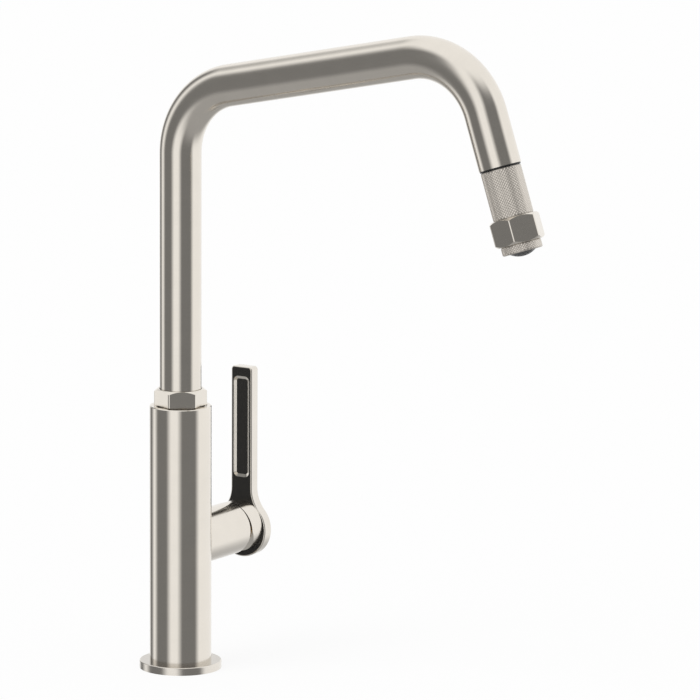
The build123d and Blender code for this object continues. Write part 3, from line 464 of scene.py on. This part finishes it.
@dataclass(frozen=True)
class Route:
    """The faucet's centre lines, worked out in metres from the same sizes as the solids."""

    lean: float = math.radians(18.39)
    rise: float = math.radians(11.29)
    corner_z: float = 389.07 * MM
    arm: float = 226.5 * MM
    bend: float = 48.7 * MM
    leg_straight: float = 34.89 * MM

    @property
    def leg_way(self) -> Vector:
        """The direction down the leg."""
        return Vector((math.sin(self.lean), 0, -math.cos(self.lean)))

    @property
    def low_corner(self) -> Vector:
        """Where the riser's and the arm's centre lines meet."""
        return Vector((0, 0, self.corner_z))

    @property
    def high_corner(self) -> Vector:
        """Where the arm's and the leg's centre lines meet."""
        return self.low_corner + Vector((math.cos(self.rise), 0, math.sin(self.rise))) * self.arm

    @property
    def tube_end(self) -> Vector:
        """The centre of the tube's lower end on the leg."""
        reach = self.bend * math.tan((math.pi / 2 + self.rise - self.lean) / 2)
        return self.high_corner + self.leg_way * (reach + self.leg_straight)

    def leg_matrix(self, along: float = 0.0) -> Matrix:
        """Give the place of a piece on the leg.

        Args:
            along: distance down the leg from the tube's end.

        Returns:
            A matrix whose local Z runs down the leg and whose local X is -Y.
        """
        down = self.leg_way
        side = Vector((0, -1, 0))
        other = down.cross(side)
        place = Matrix((side, other, down)).transposed().to_4x4()
        place.translation = self.tube_end + down * along
        return place


ROUTE = Route()


def place_new(name: str, data: bpy.types.ID) -> bpy.types.Object:
    """Make an object and put it in the scene.

    Args:
        name: its name.
        data: its mesh, lamp or camera.

    Returns:
        The object.
    """
    piece = bpy.data.objects.new(name, data)
    bpy.context.scene.collection.objects.link(piece)
    return piece


def smooth(mesh: bpy.types.Mesh, sharp: float = SHARP_EDGE) -> None:
    """Shade a mesh smooth, apart from edges sharper than an angle."""
    mesh.polygons.foreach_set("use_smooth", [True] * len(mesh.polygons))
    mesh.set_sharp_from_angle(angle=sharp)


def rounded_line(corners: Sequence[Vector], radii: Sequence[float],
                 step: float = math.radians(2.5)) -> list[Vector]:
    """Round the corners of a line with arcs.

    Args:
        corners: the line's ends and corners.
        radii: the radius at each inner corner.
        step: the turn between neighbouring points of an arc.

    Returns:
        The points of the rounded line.
    """
    points = [corners[0].copy()]
    for before, corner, after, radius in zip(corners, corners[1:], corners[2:], radii):
        into, out = (corner - before).normalized(), (after - corner).normalized()
        turn = into.angle(out)
        reach = radius * math.tan(turn / 2)
        centre = corner + (out - into).normalized() * (radius / math.cos(turn / 2))
        start = corner - into * reach - centre
        axis = into.cross(out).normalized()
        count = max(2, round(turn / step))
        points += [centre + Matrix.Rotation(turn * n / count, 3, axis) @ start
                   for n in range(count + 1)]
    points.append(corners[-1].copy())
    return points


def swept_tube(name: str, line: Sequence[Vector], outer: float, bore: float, sides: int = 96,
               along: Sequence[float] | None = None) -> bpy.types.Object:
    """Build a tube with closed ends along a line.

    Args:
        name: the piece's name.
        line: the points that the tube's axis passes through.
        outer: the outer radius.
        bore: the inner radius.
        sides: the number of faces round the tube.
        along: the distance that the UV map gives to each point, the true one if left out.

    Returns:
        The tube, with a UV map in metres round and along it.
    """
    ways = [(after - before).normalized() for before, after in zip(line, line[1:])]
    ways = [ways[0]] + [(a + b).normalized() for a, b in zip(ways, ways[1:])] + [ways[-1]]
    side = ways[0].orthogonal().normalized()
    if along is None:
        along = [0.0]
        for before, after in zip(line, line[1:]):
            along.append(along[-1] + (after - before).length)
    outside, inside = [], []
    for point, way in zip(line, ways):
        side = (side - way * side.dot(way)).normalized()
        up = way.cross(side)
        for ring, radius in ((outside, outer), (inside, bore)):
            ring += [point + (side * math.cos(a) + up * math.sin(a)) * radius
                     for a in (2 * math.pi * n / sides for n in range(sides))]
    count = len(line)
    total = count * sides
    faces, uvs = [], []

    def corner(ring: int, n: int, inner: bool) -> int:
        return ring * sides + n % sides + (total if inner else 0)

    for ring in range(count - 1):
        for n in range(sides):
            quad = [(ring, n), (ring, n + 1), (ring + 1, n + 1), (ring + 1, n)]
            for inner in (False, True):
                order = quad[::-1] if inner else quad
                faces.append([corner(r, k, inner) for r, k in order])
                uvs += [(2 * math.pi * outer * k / sides, along[r]) for r, k in order]
    for ring, flip in ((0, False), (count - 1, True)):
        for n in range(sides):
            quad = [(n, True), (n + 1, True), (n + 1, False), (n, False)]
            if flip:
                quad.reverse()
            faces.append([corner(ring, k, inner) for k, inner in quad])
            uvs += [(2 * math.pi * outer * k / sides, along[ring]) for k, inner in quad]
    mesh = bpy.data.meshes.new(name)
    mesh.from_pydata(outside + inside, [], faces)
    layer = mesh.uv_layers.new(name="UVMap")
    for loop, value in zip(layer.data, uvs):
        loop.uv = value
    mesh.validate()
    smooth(mesh)
    return place_new(name, mesh)


def turned_piece(name: str, profile: Sequence[tuple[float, float]],
                 sides: int = 96) -> bpy.types.Object:
    """Turn a closed profile round the upright axis.

    Args:
        name: the piece's name.
        profile: radius and height of each corner, in metres.
        sides: the number of faces round the piece.

    Returns:
        The turned piece.
    """
    count = len(profile)
    points = [(radius * math.cos(a), radius * math.sin(a), height)
              for a in (2 * math.pi * n / sides for n in range(sides))
              for radius, height in profile]
    faces = [(n * count + k, (n + 1) % sides * count + k,
              (n + 1) % sides * count + (k + 1) % count, n * count + (k + 1) % count)
             for n in range(sides) for k in range(count)]
    mesh = bpy.data.meshes.new(name)
    mesh.from_pydata(points, [], faces)
    face_outwards(mesh)
    smooth(mesh)
    return place_new(name, mesh)


class Cut(Enum):
    """What is cut into the outside of a turned sleeve."""

    DIAMOND = "diamond knurl"
    THREAD = "screw thread"


@dataclass
class TurnedSleeve:
    """A sleeve with a knurl or thread on its outside, made with Geometry Nodes.

    The sleeve is a grid that is rolled up: its columns go round the axis, and its rows go along
    the outside, with one more row at each end for the edge and one for the bore.
    """

    name: str
    outer: float
    bore: float
    length: float
    columns: int
    rows: int
    depth: float
    edge: float
    cut: Cut
    pitch: float = 1.5 * MM

    def _tree(self, material: bpy.types.Material) -> bpy.types.NodeTree:
        """Build the node tree.

        Args:
            material: the finish that the tree sets.

        Returns:
            The tree, with named inputs for the sleeve's sizes.
        """
        tree = bpy.data.node_groups.new(f"{self.name} sleeve", "GeometryNodeTree")
        sheet = NodeSheet(tree)
        face = tree.interface
        for label, kind in (("Outer radius", "Float"), ("Bore", "Float"), ("Length", "Float"),
                            ("Depth", "Float"), ("Edge", "Float"), ("Pitch", "Float"),
                            ("Columns", "Int"), ("Rows", "Int")):
            face.new_socket(label, in_out="INPUT", socket_type=f"NodeSocket{kind}")
        face.new_socket("Sleeve", in_out="OUTPUT", socket_type="NodeSocketGeometry")
        given = sheet.add("NodeGroupInput").outputs
        columns, rows = given["Columns"], given["Rows"]

        grid = sheet.add("GeometryNodeMeshGrid")
        sheet.feed(grid.inputs["Size X"], 1.0)
        sheet.feed(grid.inputs["Size Y"], 1.0)
        sheet.feed(grid.inputs["Vertices X"], sheet.math("ADD", columns, 1))
        sheet.feed(grid.inputs["Vertices Y"], sheet.math("ADD", rows, 6))
        place = sheet.add("ShaderNodeSeparateXYZ")
        sheet.feed(place.inputs[0], sheet.add("GeometryNodeInputPosition").outputs[0])
        column = sheet.math("ROUND", sheet.math(
            "MULTIPLY", sheet.math("ADD", place.outputs[0], 0.5), columns))
        row = sheet.math("ROUND", sheet.math(
            "MULTIPLY", sheet.math("ADD", place.outputs[1], 0.5), sheet.math("ADD", rows, 5)))
        # Rows 0 and 1 are the bore's and the edge's, 2 to rows + 2 lie on the outside, then
        # come the far edge, the far end of the bore, and row 0 again, which closes the sleeve.
        share = sheet.math("DIVIDE", sheet.math("SUBTRACT", row, 2), rows, clamp=True)
        outside_length = sheet.math(
            "SUBTRACT", given["Length"], sheet.math("MULTIPLY", given["Edge"], 2))
        past_start = sheet.math("GREATER_THAN", row, 1.5)
        past_end = sheet.math("GREATER_THAN", row, sheet.math("ADD", rows, 2.5))
        closing = sheet.math("GREATER_THAN", row, sheet.math("ADD", rows, 4.5))
        height = sheet.math("ADD", sheet.math("MULTIPLY", share, outside_length),
                            sheet.math("MULTIPLY", given["Edge"],
                                       sheet.math("ADD", past_start, past_end)))
        height = sheet.math("MULTIPLY", height, sheet.math("SUBTRACT", 1, closing))

        from_start = sheet.math("SUBTRACT", row, 2)
        from_end = sheet.math("SUBTRACT", sheet.math("ADD", rows, 2), row)
        near = sheet.math("MINIMUM", from_start, from_end)
        inside_cut = sheet.math("GREATER_THAN", near, 0.5)
        if self.cut is Cut.DIAMOND:
            odd = sheet.math("MODULO", sheet.math("ADD", column, row), 2)
            raised = sheet.math("MULTIPLY", odd, inside_cut)
            flat = sheet.math("SUBTRACT", given["Outer radius"], given["Depth"])
            outside = sheet.math("ADD", flat, sheet.math("MULTIPLY", given["Depth"], raised))
        else:
            turns = sheet.math("SUBTRACT", sheet.math("DIVIDE", height, given["Pitch"]),
                               sheet.math("DIVIDE", column, columns))
            phase = sheet.math("FRACT", turns)
            slope = sheet.math("ABSOLUTE", sheet.math("SUBTRACT",
                                                      sheet.math("MULTIPLY", phase, 2), 1))
            fade = sheet.math("DIVIDE", near, FADE_ROWS, clamp=True)
            cut = sheet.math("MULTIPLY", slope, fade)
            outside = sheet.math("SUBTRACT", given["Outer radius"],
                                 sheet.math("MULTIPLY", given["Depth"], cut))
            raised = sheet.math("SUBTRACT", 1, cut)
        on_outside = sheet.math("GREATER_THAN", near, -0.5)
        at_edge = sheet.math("MULTIPLY", sheet.math("GREATER_THAN", near, -1.5),
                             sheet.math("LESS_THAN", near, -0.5))
        drop = sheet.math("ADD", given["Edge"],
                          given["Depth"] if self.cut is Cut.DIAMOND else 0.0)
        edge_radius = sheet.math("SUBTRACT", given["Outer radius"], drop)
        in_bore = sheet.math("LESS_THAN", near, -1.5)
        radius = sheet.math("ADD", sheet.math("MULTIPLY", on_outside, outside), sheet.math(
            "ADD", sheet.math("MULTIPLY", at_edge, edge_radius),
            sheet.math("MULTIPLY", in_bore, given["Bore"])))
        angle = sheet.math("MULTIPLY", sheet.math("DIVIDE", column, columns), 2 * math.pi)
        rolled = sheet.add("ShaderNodeCombineXYZ")
        sheet.feed(rolled.inputs[0], sheet.math("MULTIPLY", radius, sheet.math("COSINE", angle)))
        sheet.feed(rolled.inputs[1], sheet.math("MULTIPLY", radius, sheet.math("SINE", angle)))
        sheet.feed(rolled.inputs[2], height)

        marked = sheet.add("GeometryNodeStoreNamedAttribute", data_type="FLOAT", domain="POINT")
        sheet.feed(marked.inputs["Geometry"], grid.outputs[0])
        sheet.feed(marked.inputs["Name"], RELIEF)
        sheet.feed(marked.inputs["Value"], raised)
        moved = sheet.add("GeometryNodeSetPosition")
        sheet.feed(moved.inputs["Geometry"], marked.outputs[0])
        sheet.feed(moved.inputs["Position"], rolled.outputs[0])
        merged = sheet.add("GeometryNodeMergeByDistance")
        sheet.feed(merged.inputs["Geometry"], moved.outputs[0])
        merged.inputs["Distance"].default_value = MERGE_DISTANCE
        facets = sheet.add("GeometryNodeTriangulate", quad_method="SHORTEST_DIAGONAL")
        sheet.feed(facets.inputs["Mesh"], merged.outputs[0])
        real = sheet.add("GeometryNodeRealizeInstances")
        sheet.feed(real.inputs[0], facets.outputs[0])
        painted = sheet.add("GeometryNodeSetMaterial")
        sheet.feed(painted.inputs["Geometry"], real.outputs[0])
        painted.inputs["Material"].default_value = material
        sheet.feed(sheet.add("NodeGroupOutput").inputs[0], painted.outputs[0])
        return tree

    def make(self, material: bpy.types.Material, place: Matrix) -> bpy.types.Object:
        """Build the sleeve as a plain mesh in its place.

        Args:
            material: its finish.
            place: the matrix that puts the sleeve's start and axis in the row frame.

        Returns:
            The sleeve.
        """
        holder = place_new(f"{self.name}_draft", bpy.data.meshes.new("draft"))
        modifier = holder.modifiers.new("sleeve", "NODES")
        modifier.node_group = self._tree(material)
        sizes = {"Outer radius": self.outer, "Bore": self.bore, "Length": self.length,
                 "Depth": self.depth, "Edge": self.edge, "Pitch": self.pitch,
                 "Columns": self.columns, "Rows": self.rows}
        for item in modifier.node_group.interface.items_tree:
            if item.in_out == "INPUT":
                modifier[item.identifier] = sizes[item.name]
        graph = bpy.context.evaluated_depsgraph_get()
        mesh = bpy.data.meshes.new_from_object(holder.evaluated_get(graph), depsgraph=graph)
        bpy.data.objects.remove(holder)
        mesh.transform(place)
        mesh.name = self.name
        face_outwards(mesh)
        if self.cut is Cut.THREAD:
            smooth(mesh, THREAD_SHARP_EDGE)
        return place_new(self.name, mesh)


def face_outwards(mesh: bpy.types.Mesh) -> None:
    """Turn every face of a closed mesh outwards."""
    shape = bmesh.new()
    shape.from_mesh(mesh)
    bmesh.ops.recalc_face_normals(shape, faces=shape.faces)
    shape.to_mesh(mesh)
    shape.free()


def dress(node: str, finish: Finish | Braid, grain: Grain = Grain.ROUND_Z) -> None:
    """Give a CAD node its finish.

    Args:
        node: the node's name.
        finish: its finish.
        grain: the way the finish's hairlines run.
    """
    material = finish.make() if isinstance(finish, Braid) else finish.make(grain)
    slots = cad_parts[node].data.materials
    slots.clear()
    slots.append(material)


def own(piece: bpy.types.Object, material: bpy.types.Material) -> None:
    """Finish a new piece.

    Args:
        piece: the new piece.
        material: its finish.
    """
    piece.data.materials.clear()
    piece.data.materials.append(material)


# ---------------------------------------------------------------- sub-assemblies


@dataclass
class DeckMount:
    """The flange on the worktop and everything that clamps it from below."""

    thread_radius: float = 16.0 * MM
    neck_radius: float = 16.5 * MM
    bore: float = 14.2 * MM
    low_z: float = -66.0 * MM
    neck_z: float = -38.0 * MM
    top_z: float = 17.2 * MM
    thread_depth: float = 0.8 * MM
    thread_edge: float = 0.5 * MM
    thread_columns: int = 96
    thread_rows: int = 224
    nodes: dict[str, Finish] = field(default_factory=lambda: {
        "base_flange": TURNED_NICKEL, "base_gasket": SEAL_RUBBER, "deck_rubber_washer": SEAL_RUBBER,
        "deck_steel_washer": ZINC_STEEL, "mounting_nut": BRASS, "clamp_screws": ZINC_STEEL})

    def build(self) -> list[str]:
        """Dress the flange, washers and nut, and build the shank."""
        for node, finish in self.nodes.items():
            dress(node, finish, Grain.ROUND_Z)
        brass = BRASS.make(Grain.ROUND_Z)
        thread = TurnedSleeve("shank_thread", self.thread_radius, self.bore,
                              self.neck_z - self.low_z, self.thread_columns, self.thread_rows,
                              self.thread_depth, self.thread_edge, Cut.THREAD).make(
            brass, Matrix.Translation((0, 0, self.low_z)))
        neck = turned_piece("shank_neck", [
            (self.bore, self.neck_z), (self.neck_radius, self.neck_z), (self.neck_radius, 0),
            (self.thread_radius, 0), (self.thread_radius, self.top_z), (self.bore, self.top_z)])
        for piece in (thread, neck):
            own(piece, brass)
            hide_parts("mounting_shank")
            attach(piece, "base")
        return [*self.nodes, thread.name, neck.name]


@dataclass
class DressedGroup:
    """A sub-assembly whose nodes keep their CAD shapes and only take finishes."""

    nodes: dict[str, tuple[Finish, Grain]]

    def build(self) -> list[str]:
        """Dress the sub-assembly's pieces."""
        for node, (finish, grain) in self.nodes.items():
            dress(node, finish, grain)
        return list(self.nodes)


@dataclass
class ColumnGroup(DressedGroup):
    """The column with its hub, the valve body and the nut that holds the spout."""

    nodes: dict[str, tuple[Finish, Grain]] = field(default_factory=lambda: {
        "column": (NICKEL, Grain.ROUND_Z), "hub_sleeve": (NICKEL, Grain.ROUND_Y),
        "spout_nut": (NICKEL, Grain.ROUND_Z), "valve_body": (BRASS, Grain.ROUND_Z),
        "spout_bearing": (WHITE_POLYMER, Grain.ROUND_Z),
        "thrust_washer": (WHITE_POLYMER, Grain.ROUND_Z)})


@dataclass
class Cartridge:
    """The ceramic cartridge in its housing."""

    nodes: dict[str, Finish] = field(default_factory=lambda: {
        "cartridge_housing": BRASS, "cartridge_base": WHITE_POLYMER,
        "cartridge_seals": SEAL_RUBBER, "fixed_disc": CERAMIC, "cartridge_body": WHITE_POLYMER,
        "cartridge_nut": BRASS, "moving_disc": CERAMIC, "disc_carrier": WHITE_POLYMER,
        "stem_yoke": WHITE_POLYMER, "pivot_pin": ZINC_STEEL})

    def build(self) -> list[str]:
        """Dress the cartridge's pieces."""
        for node, finish in self.nodes.items():
            dress(node, finish, Grain.ROUND_Y)
        return list(self.nodes)


@dataclass
class LeverGroup(DressedGroup):
    """The lever with its cap, stem, screw and end cap."""

    nodes: dict[str, tuple[Finish, Grain]] = field(default_factory=lambda: {
        "handle_cap": (NICKEL, Grain.ROUND_Y), "handle_end_cap": (NICKEL, Grain.ROUND_Y),
        "set_screw_plug": (NICKEL, Grain.ROUND_Z), "handle_set_screw": (ZINC_STEEL, Grain.ROUND_Z),
        "lever_stem": (BRASS, Grain.ROUND_Y), "lever_handle": (SATIN_NICKEL, Grain.ALONG_Z)})


@dataclass
class Spout:
    """The bent spout tube with its snap ring and docking bush."""

    radius: float = 14.0 * MM
    wall: float = 1.2 * MM
    low_z: float = 146.05 * MM

    def build(self) -> list[str]:
        """Build the tube and dress the fittings on it."""
        line = rounded_line([Vector((0, 0, self.low_z)), ROUTE.low_corner, ROUTE.high_corner,
                             ROUTE.tube_end], [ROUTE.bend, ROUTE.bend])
        tube = swept_tube("spout_riser_and_arm", line, self.radius, self.radius - self.wall)
        own(tube, NICKEL.make(Grain.ROUND_TUBE))
        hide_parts("spout_tube")
        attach(tube, "spout")
        dress("spout_snap_ring", ZINC_STEEL)
        dress("docking_bush", BLACK_POLYMER, Grain.ROUND_LEG)
        return [tube.name, "spout_snap_ring", "docking_bush"]


@dataclass
class Hose:
    """The woven pull-out hose: through the column, round the spout, and the length drawn out."""

    radius: float = 6.0 * MM
    bore: float = 4.0 * MM
    offset: float = 7.8 * MM
    low_z: float = -72.0 * MM
    shift_low_z: float = 125.0 * MM
    shift_high_z: float = 175.0 * MM
    shift_radius: float = 300.0 * MM
    split_z: float = 200.0 * MM
    twist_low_z: float = 120.0 * MM
    twist_high_z: float = 180.0 * MM
    ferrule_back: float = 28.0 * MM
    stretch_back: float = 34.0 * MM
    travel: float = 300.0 * MM
    sides: int = 32
    drawn_steps: int = 60
    longest_run: float = 10.0 * MM
    shift_step: float = math.radians(1)

    def build(self) -> list[str]:
        """Build the three lengths and dress the fittings at their ends."""
        braid = Braid().make()
        lower = swept_tube("hose_in_column", self._divided(rounded_line(
            [Vector((0, -self.offset, self.low_z)), Vector((0, -self.offset, self.shift_low_z)),
             Vector((0, 0, self.shift_high_z)), Vector((0, 0, self.split_z))],
            [self.shift_radius, self.shift_radius], self.shift_step), self.longest_run),
            self.radius, self.bore, sides=self.sides)
        own(lower, braid)
        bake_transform(lower)

        way = ROUTE.leg_way
        start = ROUTE.tube_end - way * self.stretch_back
        end = ROUTE.tube_end - way * self.ferrule_back
        upper = swept_tube("hose_in_spout", rounded_line(
            [Vector((0, 0, self.split_z)), ROUTE.low_corner, ROUTE.high_corner, start],
            [ROUTE.bend, ROUTE.bend]), self.radius, self.bore, sides=self.sides)
        own(upper, braid)
        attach(upper, "spout")
        shares = [n / self.drawn_steps for n in range(self.drawn_steps + 1)]
        drawn = swept_tube("hose_drawn_out", [start.lerp(end, share) for share in shares],
                           self.radius, self.bore, sides=self.sides,
                           along=[(end - start).length * share
                                  + share * share * (3 - 2 * share) * self.travel
                                  for share in shares])
        own(drawn, braid)
        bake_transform(drawn)
        for piece in (lower, upper, drawn):
            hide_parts("pull_out_hose")
        for node, finish, grain in (("hose_tail_connector", BRASS, Grain.ROUND_Z),
                                    ("hose_ferrule", BRASS, Grain.ROUND_LEG),
                                    ("ferrule_o_ring", SEAL_RUBBER, Grain.ROUND_LEG)):
            dress(node, finish, grain)
        return [lower.name, upper.name, drawn.name, "hose_tail_connector", "hose_ferrule",
                "ferrule_o_ring"]

    def _divided(self, line: Sequence[Vector], longest: float) -> list[Vector]:
        """Divide a line's long runs into shorter ones.

        Args:
            line: the line's points.
            longest: the longest run left whole.

        Returns:
            The points with those that divide the long runs.
        """
        points = [line[0]]
        for before, after in zip(line, line[1:]):
            count = max(1, math.ceil((after - before).length / longest))
            points += [before.lerp(after, n / count) for n in range(1, count + 1)]
        return points


@dataclass
class SprayHead:
    """The pull-out spray head: knurled grip, hexagonal collar, knurled ring and aerator."""

    start: float = 1.2 * MM
    grip_outer: float = 13.35 * MM
    grip_bore: float = 12.0 * MM
    grip_length: float = 31.9 * MM
    collar_length: float = 17.2 * MM
    knurl_pitch: float = 2.0 * MM
    knurl_depth: float = 0.18 * MM
    grip_edge: float = 0.3 * MM
    ring_edge: float = 0.4 * MM
    ring_outer: float = 13.3 * MM
    ring_mouth: float = 8.9 * MM
    ring_length: float = 5.7 * MM
    nodes: dict[str, Finish] = field(default_factory=lambda: {
        "head_core": BLACK_POLYMER, "dock_o_ring": SEAL_RUBBER, "hose_nut": BRASS,
        "inlet_filter": ZINC_STEEL, "check_valve": WHITE_POLYMER, "hex_collar": NICKEL,
        "aerator_seal": SEAL_RUBBER, "aerator": DARK_POLYMER})

    def build(self) -> list[str]:
        """Build the knurled pieces and dress the others."""
        for node, finish in self.nodes.items():
            dress(node, finish, Grain.ROUND_LEG)
        columns = 2 * round(2 * math.pi * self.grip_outer / self.knurl_pitch)
        grip = TurnedSleeve("knurled_grip", self.grip_outer, self.grip_bore, self.grip_length,
                            columns, 2 * round(self.grip_length / self.knurl_pitch),
                            self.knurl_depth, self.grip_edge, Cut.DIAMOND).make(
            KNURLED_NICKEL.make(Grain.ROUND_LEG), ROUTE.leg_matrix(self.start))
        own(grip, KNURLED_NICKEL.make(Grain.ROUND_LEG))
        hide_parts("grip_sleeve")
        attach(grip, "spray_head")
        collar_end = self.start + self.grip_length + self.collar_length
        ring = TurnedSleeve("knurled_ring", self.ring_outer, self.ring_mouth, self.ring_length,
                            columns, 2 * round(self.ring_length / self.knurl_pitch),
                            self.knurl_depth, self.ring_edge, Cut.DIAMOND).make(
            KNURLED_NICKEL.make(Grain.ROUND_LEG), ROUTE.leg_matrix(collar_end))
        own(ring, KNURLED_NICKEL.make(Grain.ROUND_LEG))
        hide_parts("aerator_ring")
        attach(ring, "spray_head")
        return [grip.name, ring.name, *self.nodes]


# ---------------------------------------------------------------- studio


@dataclass(frozen=True)
class Flag:
    """A tall dark flag of the studio, seen only in reflections.

    Its edges are azimuths from -Y towards +X, in degrees.
    """

    start: float
    end: float


@dataclass
class Studio:
    """The floor, lamps, background, reflections and camera."""

    lens: float = 283.3
    sensor: float = 36.0
    place: tuple[float, float, float] = (2.0376, -2.9879, 0.8560)
    azimuth: float = math.radians(32.5031)
    pitch: float = math.radians(10.0258)
    roll: float = math.radians(0.315)
    ambient: float = 0.72
    key: float = 1.0
    key_spread: float = math.radians(40)
    key_turn: tuple[float, float, float] = (math.radians(38), 0.0, math.radians(-25))
    floor_reach: float = 6.0
    floor_shade: RGB = (0.95, 0.95, 0.95)
    floor_fade: float = 0.88
    white: RGB = (1.0, 1.0, 1.0)
    flags: tuple[Flag, ...] = (Flag(-110, -100), Flag(-60, -20), Flag(40, 90))
    flag_colour: RGB = (0.2, 0.2, 0.2)
    flag_edge: float = 18.0
    flag_fade: float = 27.0
    flag_foot: float = -45.0
    flag_top: float = 30.0
    ground: RGB = (0.4, 0.4, 0.4)

    def build(self) -> None:
        """Set up the whole studio."""
        scene = bpy.context.scene
        scene.view_settings.view_transform = "Standard"
        self._world()
        self._floor()
        self._lamp()
        self._camera()

    def _world(self) -> None:
        """Light the object plainly, and show metal the white background and the flags."""
        world = bpy.data.worlds.new("studio")
        bpy.context.scene.world = world
        world.use_nodes = True
        sheet = NodeSheet(world.node_tree)
        world.node_tree.nodes.clear()
        way = sheet.add("ShaderNodeTexCoord").outputs["Generated"]
        split = sheet.add("ShaderNodeSeparateXYZ")
        sheet.feed(split.inputs[0], way)
        back = sheet.math("MULTIPLY", split.outputs[1], -1)
        angle = sheet.math("ARCTAN2", split.outputs[0], back)
        turn = sheet.math("ADD", sheet.math("DIVIDE", angle, 2 * math.pi), 0.5)
        height = sheet.math("MULTIPLY", sheet.math("ARCSINE", split.outputs[2]), 180 / math.pi)
        stops = [(0.0, self.white)]
        for flag in self.flags:
            for edge, colour in ((flag.start - self.flag_edge, self.white),
                                 (flag.start, self.flag_colour), (flag.end, self.flag_colour),
                                 (flag.end + self.flag_edge, self.white)):
                stops.append(((edge + 180) / 360, colour))
        flagged = sheet.ramp(turn, stops)
        above_ground = self._mix(sheet, self._past(sheet, height, self.flag_foot),
                                 (*self.ground, 1.0), flagged)
        around = self._mix(sheet, self._past(sheet, height, self.flag_top), above_ground,
                           (*self.white, 1.0))
        from_camera, shiny = sheet.rays()
        plain = self._mix(sheet, from_camera, (self.ambient,) * 3 + (1.0,),
                          (*self.white, 1.0))
        seen = self._mix(sheet, shiny, plain, around)
        light = sheet.add("ShaderNodeBackground")
        sheet.feed(light.inputs["Color"], seen)
        out = sheet.add("ShaderNodeOutputWorld")
        sheet.feed(out.inputs["Surface"], light.outputs[0])

    def _past(self, sheet: NodeSheet, height: object, edge: float) -> bpy.types.NodeSocket:
        """Tell softly whether a height is past an edge.

        Args:
            sheet: the node sheet.
            height: the elevation in degrees, as a socket.
            edge: the elevation where the change starts.

        Returns:
            The socket of the share, from 0 at the edge to 1 above it.
        """
        share = sheet.spread(height, 0, 1)
        share.node.interpolation_type = "SMOOTHSTEP"
        share.node.inputs["From Min"].default_value = edge
        share.node.inputs["From Max"].default_value = edge + self.flag_fade
        return share

    def _mix(self, sheet: NodeSheet, share: object, first: object,
             second: object) -> bpy.types.NodeSocket:
        """Mix two colours.

        Args:
            sheet: the node sheet.
            share: the second colour's share.
            first: the first colour.
            second: the second colour.

        Returns:
            The socket of the mixed colour.
        """
        node = sheet.add("ShaderNodeMix", data_type="RGBA")
        sheet.feed(node.inputs["Factor"], share)
        sheet.feed(node.inputs[6], first)
        sheet.feed(node.inputs[7], second)
        return node.outputs[2]

    def _floor(self) -> None:
        """Lay a plain pale floor that keeps the object's shadow."""
        mesh = bpy.data.meshes.new("floor")
        reach = self.floor_reach
        mesh.from_pydata([(-reach, -reach, 0), (reach, -reach, 0), (reach, reach, 0),
                          (-reach, reach, 0)], [], [(0, 1, 2, 3)])
        floor = place_new("floor", mesh)
        material = bpy.data.materials.new("pale floor")
        material.use_nodes = True
        sheet = NodeSheet(material.node_tree)
        material.node_tree.nodes.clear()
        plain = sheet.add("ShaderNodeBsdfDiffuse")
        plain.inputs["Color"].default_value = (*self.floor_shade, 1.0)
        white = sheet.add("ShaderNodeEmission")
        faded = sheet.add("ShaderNodeMixShader")
        faded.inputs[0].default_value = self.floor_fade
        sheet.feed(faded.inputs[1], plain.outputs[0])
        sheet.feed(faded.inputs[2], white.outputs[0])
        from_camera, shiny = sheet.rays()
        seen = sheet.add("ShaderNodeMixShader")
        sheet.feed(seen.inputs[0], from_camera)
        sheet.feed(seen.inputs[1], plain.outputs[0])
        sheet.feed(seen.inputs[2], faded.outputs[0])
        final = sheet.add("ShaderNodeMixShader")
        sheet.feed(final.inputs[0], shiny)
        sheet.feed(final.inputs[1], seen.outputs[0])
        sheet.feed(final.inputs[2], sheet.add("ShaderNodeBsdfTransparent").outputs[0])
        sheet.feed(sheet.add("ShaderNodeOutputMaterial").inputs["Surface"], final.outputs[0])
        mesh.materials.append(material)

    def _lamp(self) -> None:
        """Hang one broad soft lamp above and in front."""
        lamp = bpy.data.lights.new("soft key", "SUN")
        lamp.energy = self.key
        lamp.angle = self.key_spread
        holder = place_new("soft key", lamp)
        holder.rotation_euler = self.key_turn
        holder.visible_glossy = False

    def _camera(self) -> None:
        """Set the camera as the photograph's."""
        right = Vector((math.cos(self.azimuth), math.sin(self.azimuth), 0))
        away = Vector((-math.sin(self.azimuth), math.cos(self.azimuth), 0))
        forward = away * math.cos(self.pitch) - Vector((0, 0, math.sin(self.pitch)))
        up = away * math.sin(self.pitch) + Vector((0, 0, math.cos(self.pitch)))
        level = right * math.cos(self.roll) + up * math.sin(self.roll)
        tall = up * math.cos(self.roll) - right * math.sin(self.roll)
        camera = bpy.data.cameras.new("camera")
        camera.lens = self.lens
        camera.sensor_width = self.sensor
        camera.clip_end = 100.0
        holder = place_new("camera", camera)
        place = Matrix((level, tall, -forward)).transposed().to_4x4()
        place.translation = Vector(self.place)
        holder.matrix_world = place
        bpy.context.scene.camera = holder


def main() -> None:
    """Build every sub-assembly in order and report its pieces."""
    logging.basicConfig(level=logging.INFO, format="%(message)s")
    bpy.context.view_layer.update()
    for group in (DeckMount(), ColumnGroup(), Cartridge(), LeverGroup(), Spout(), Hose(),
                  SprayHead()):
        for name in group.build():
            LOG.info("%s: %s", type(group).__name__, name)
    Studio().build()


if __name__ == "__main__":
    main()
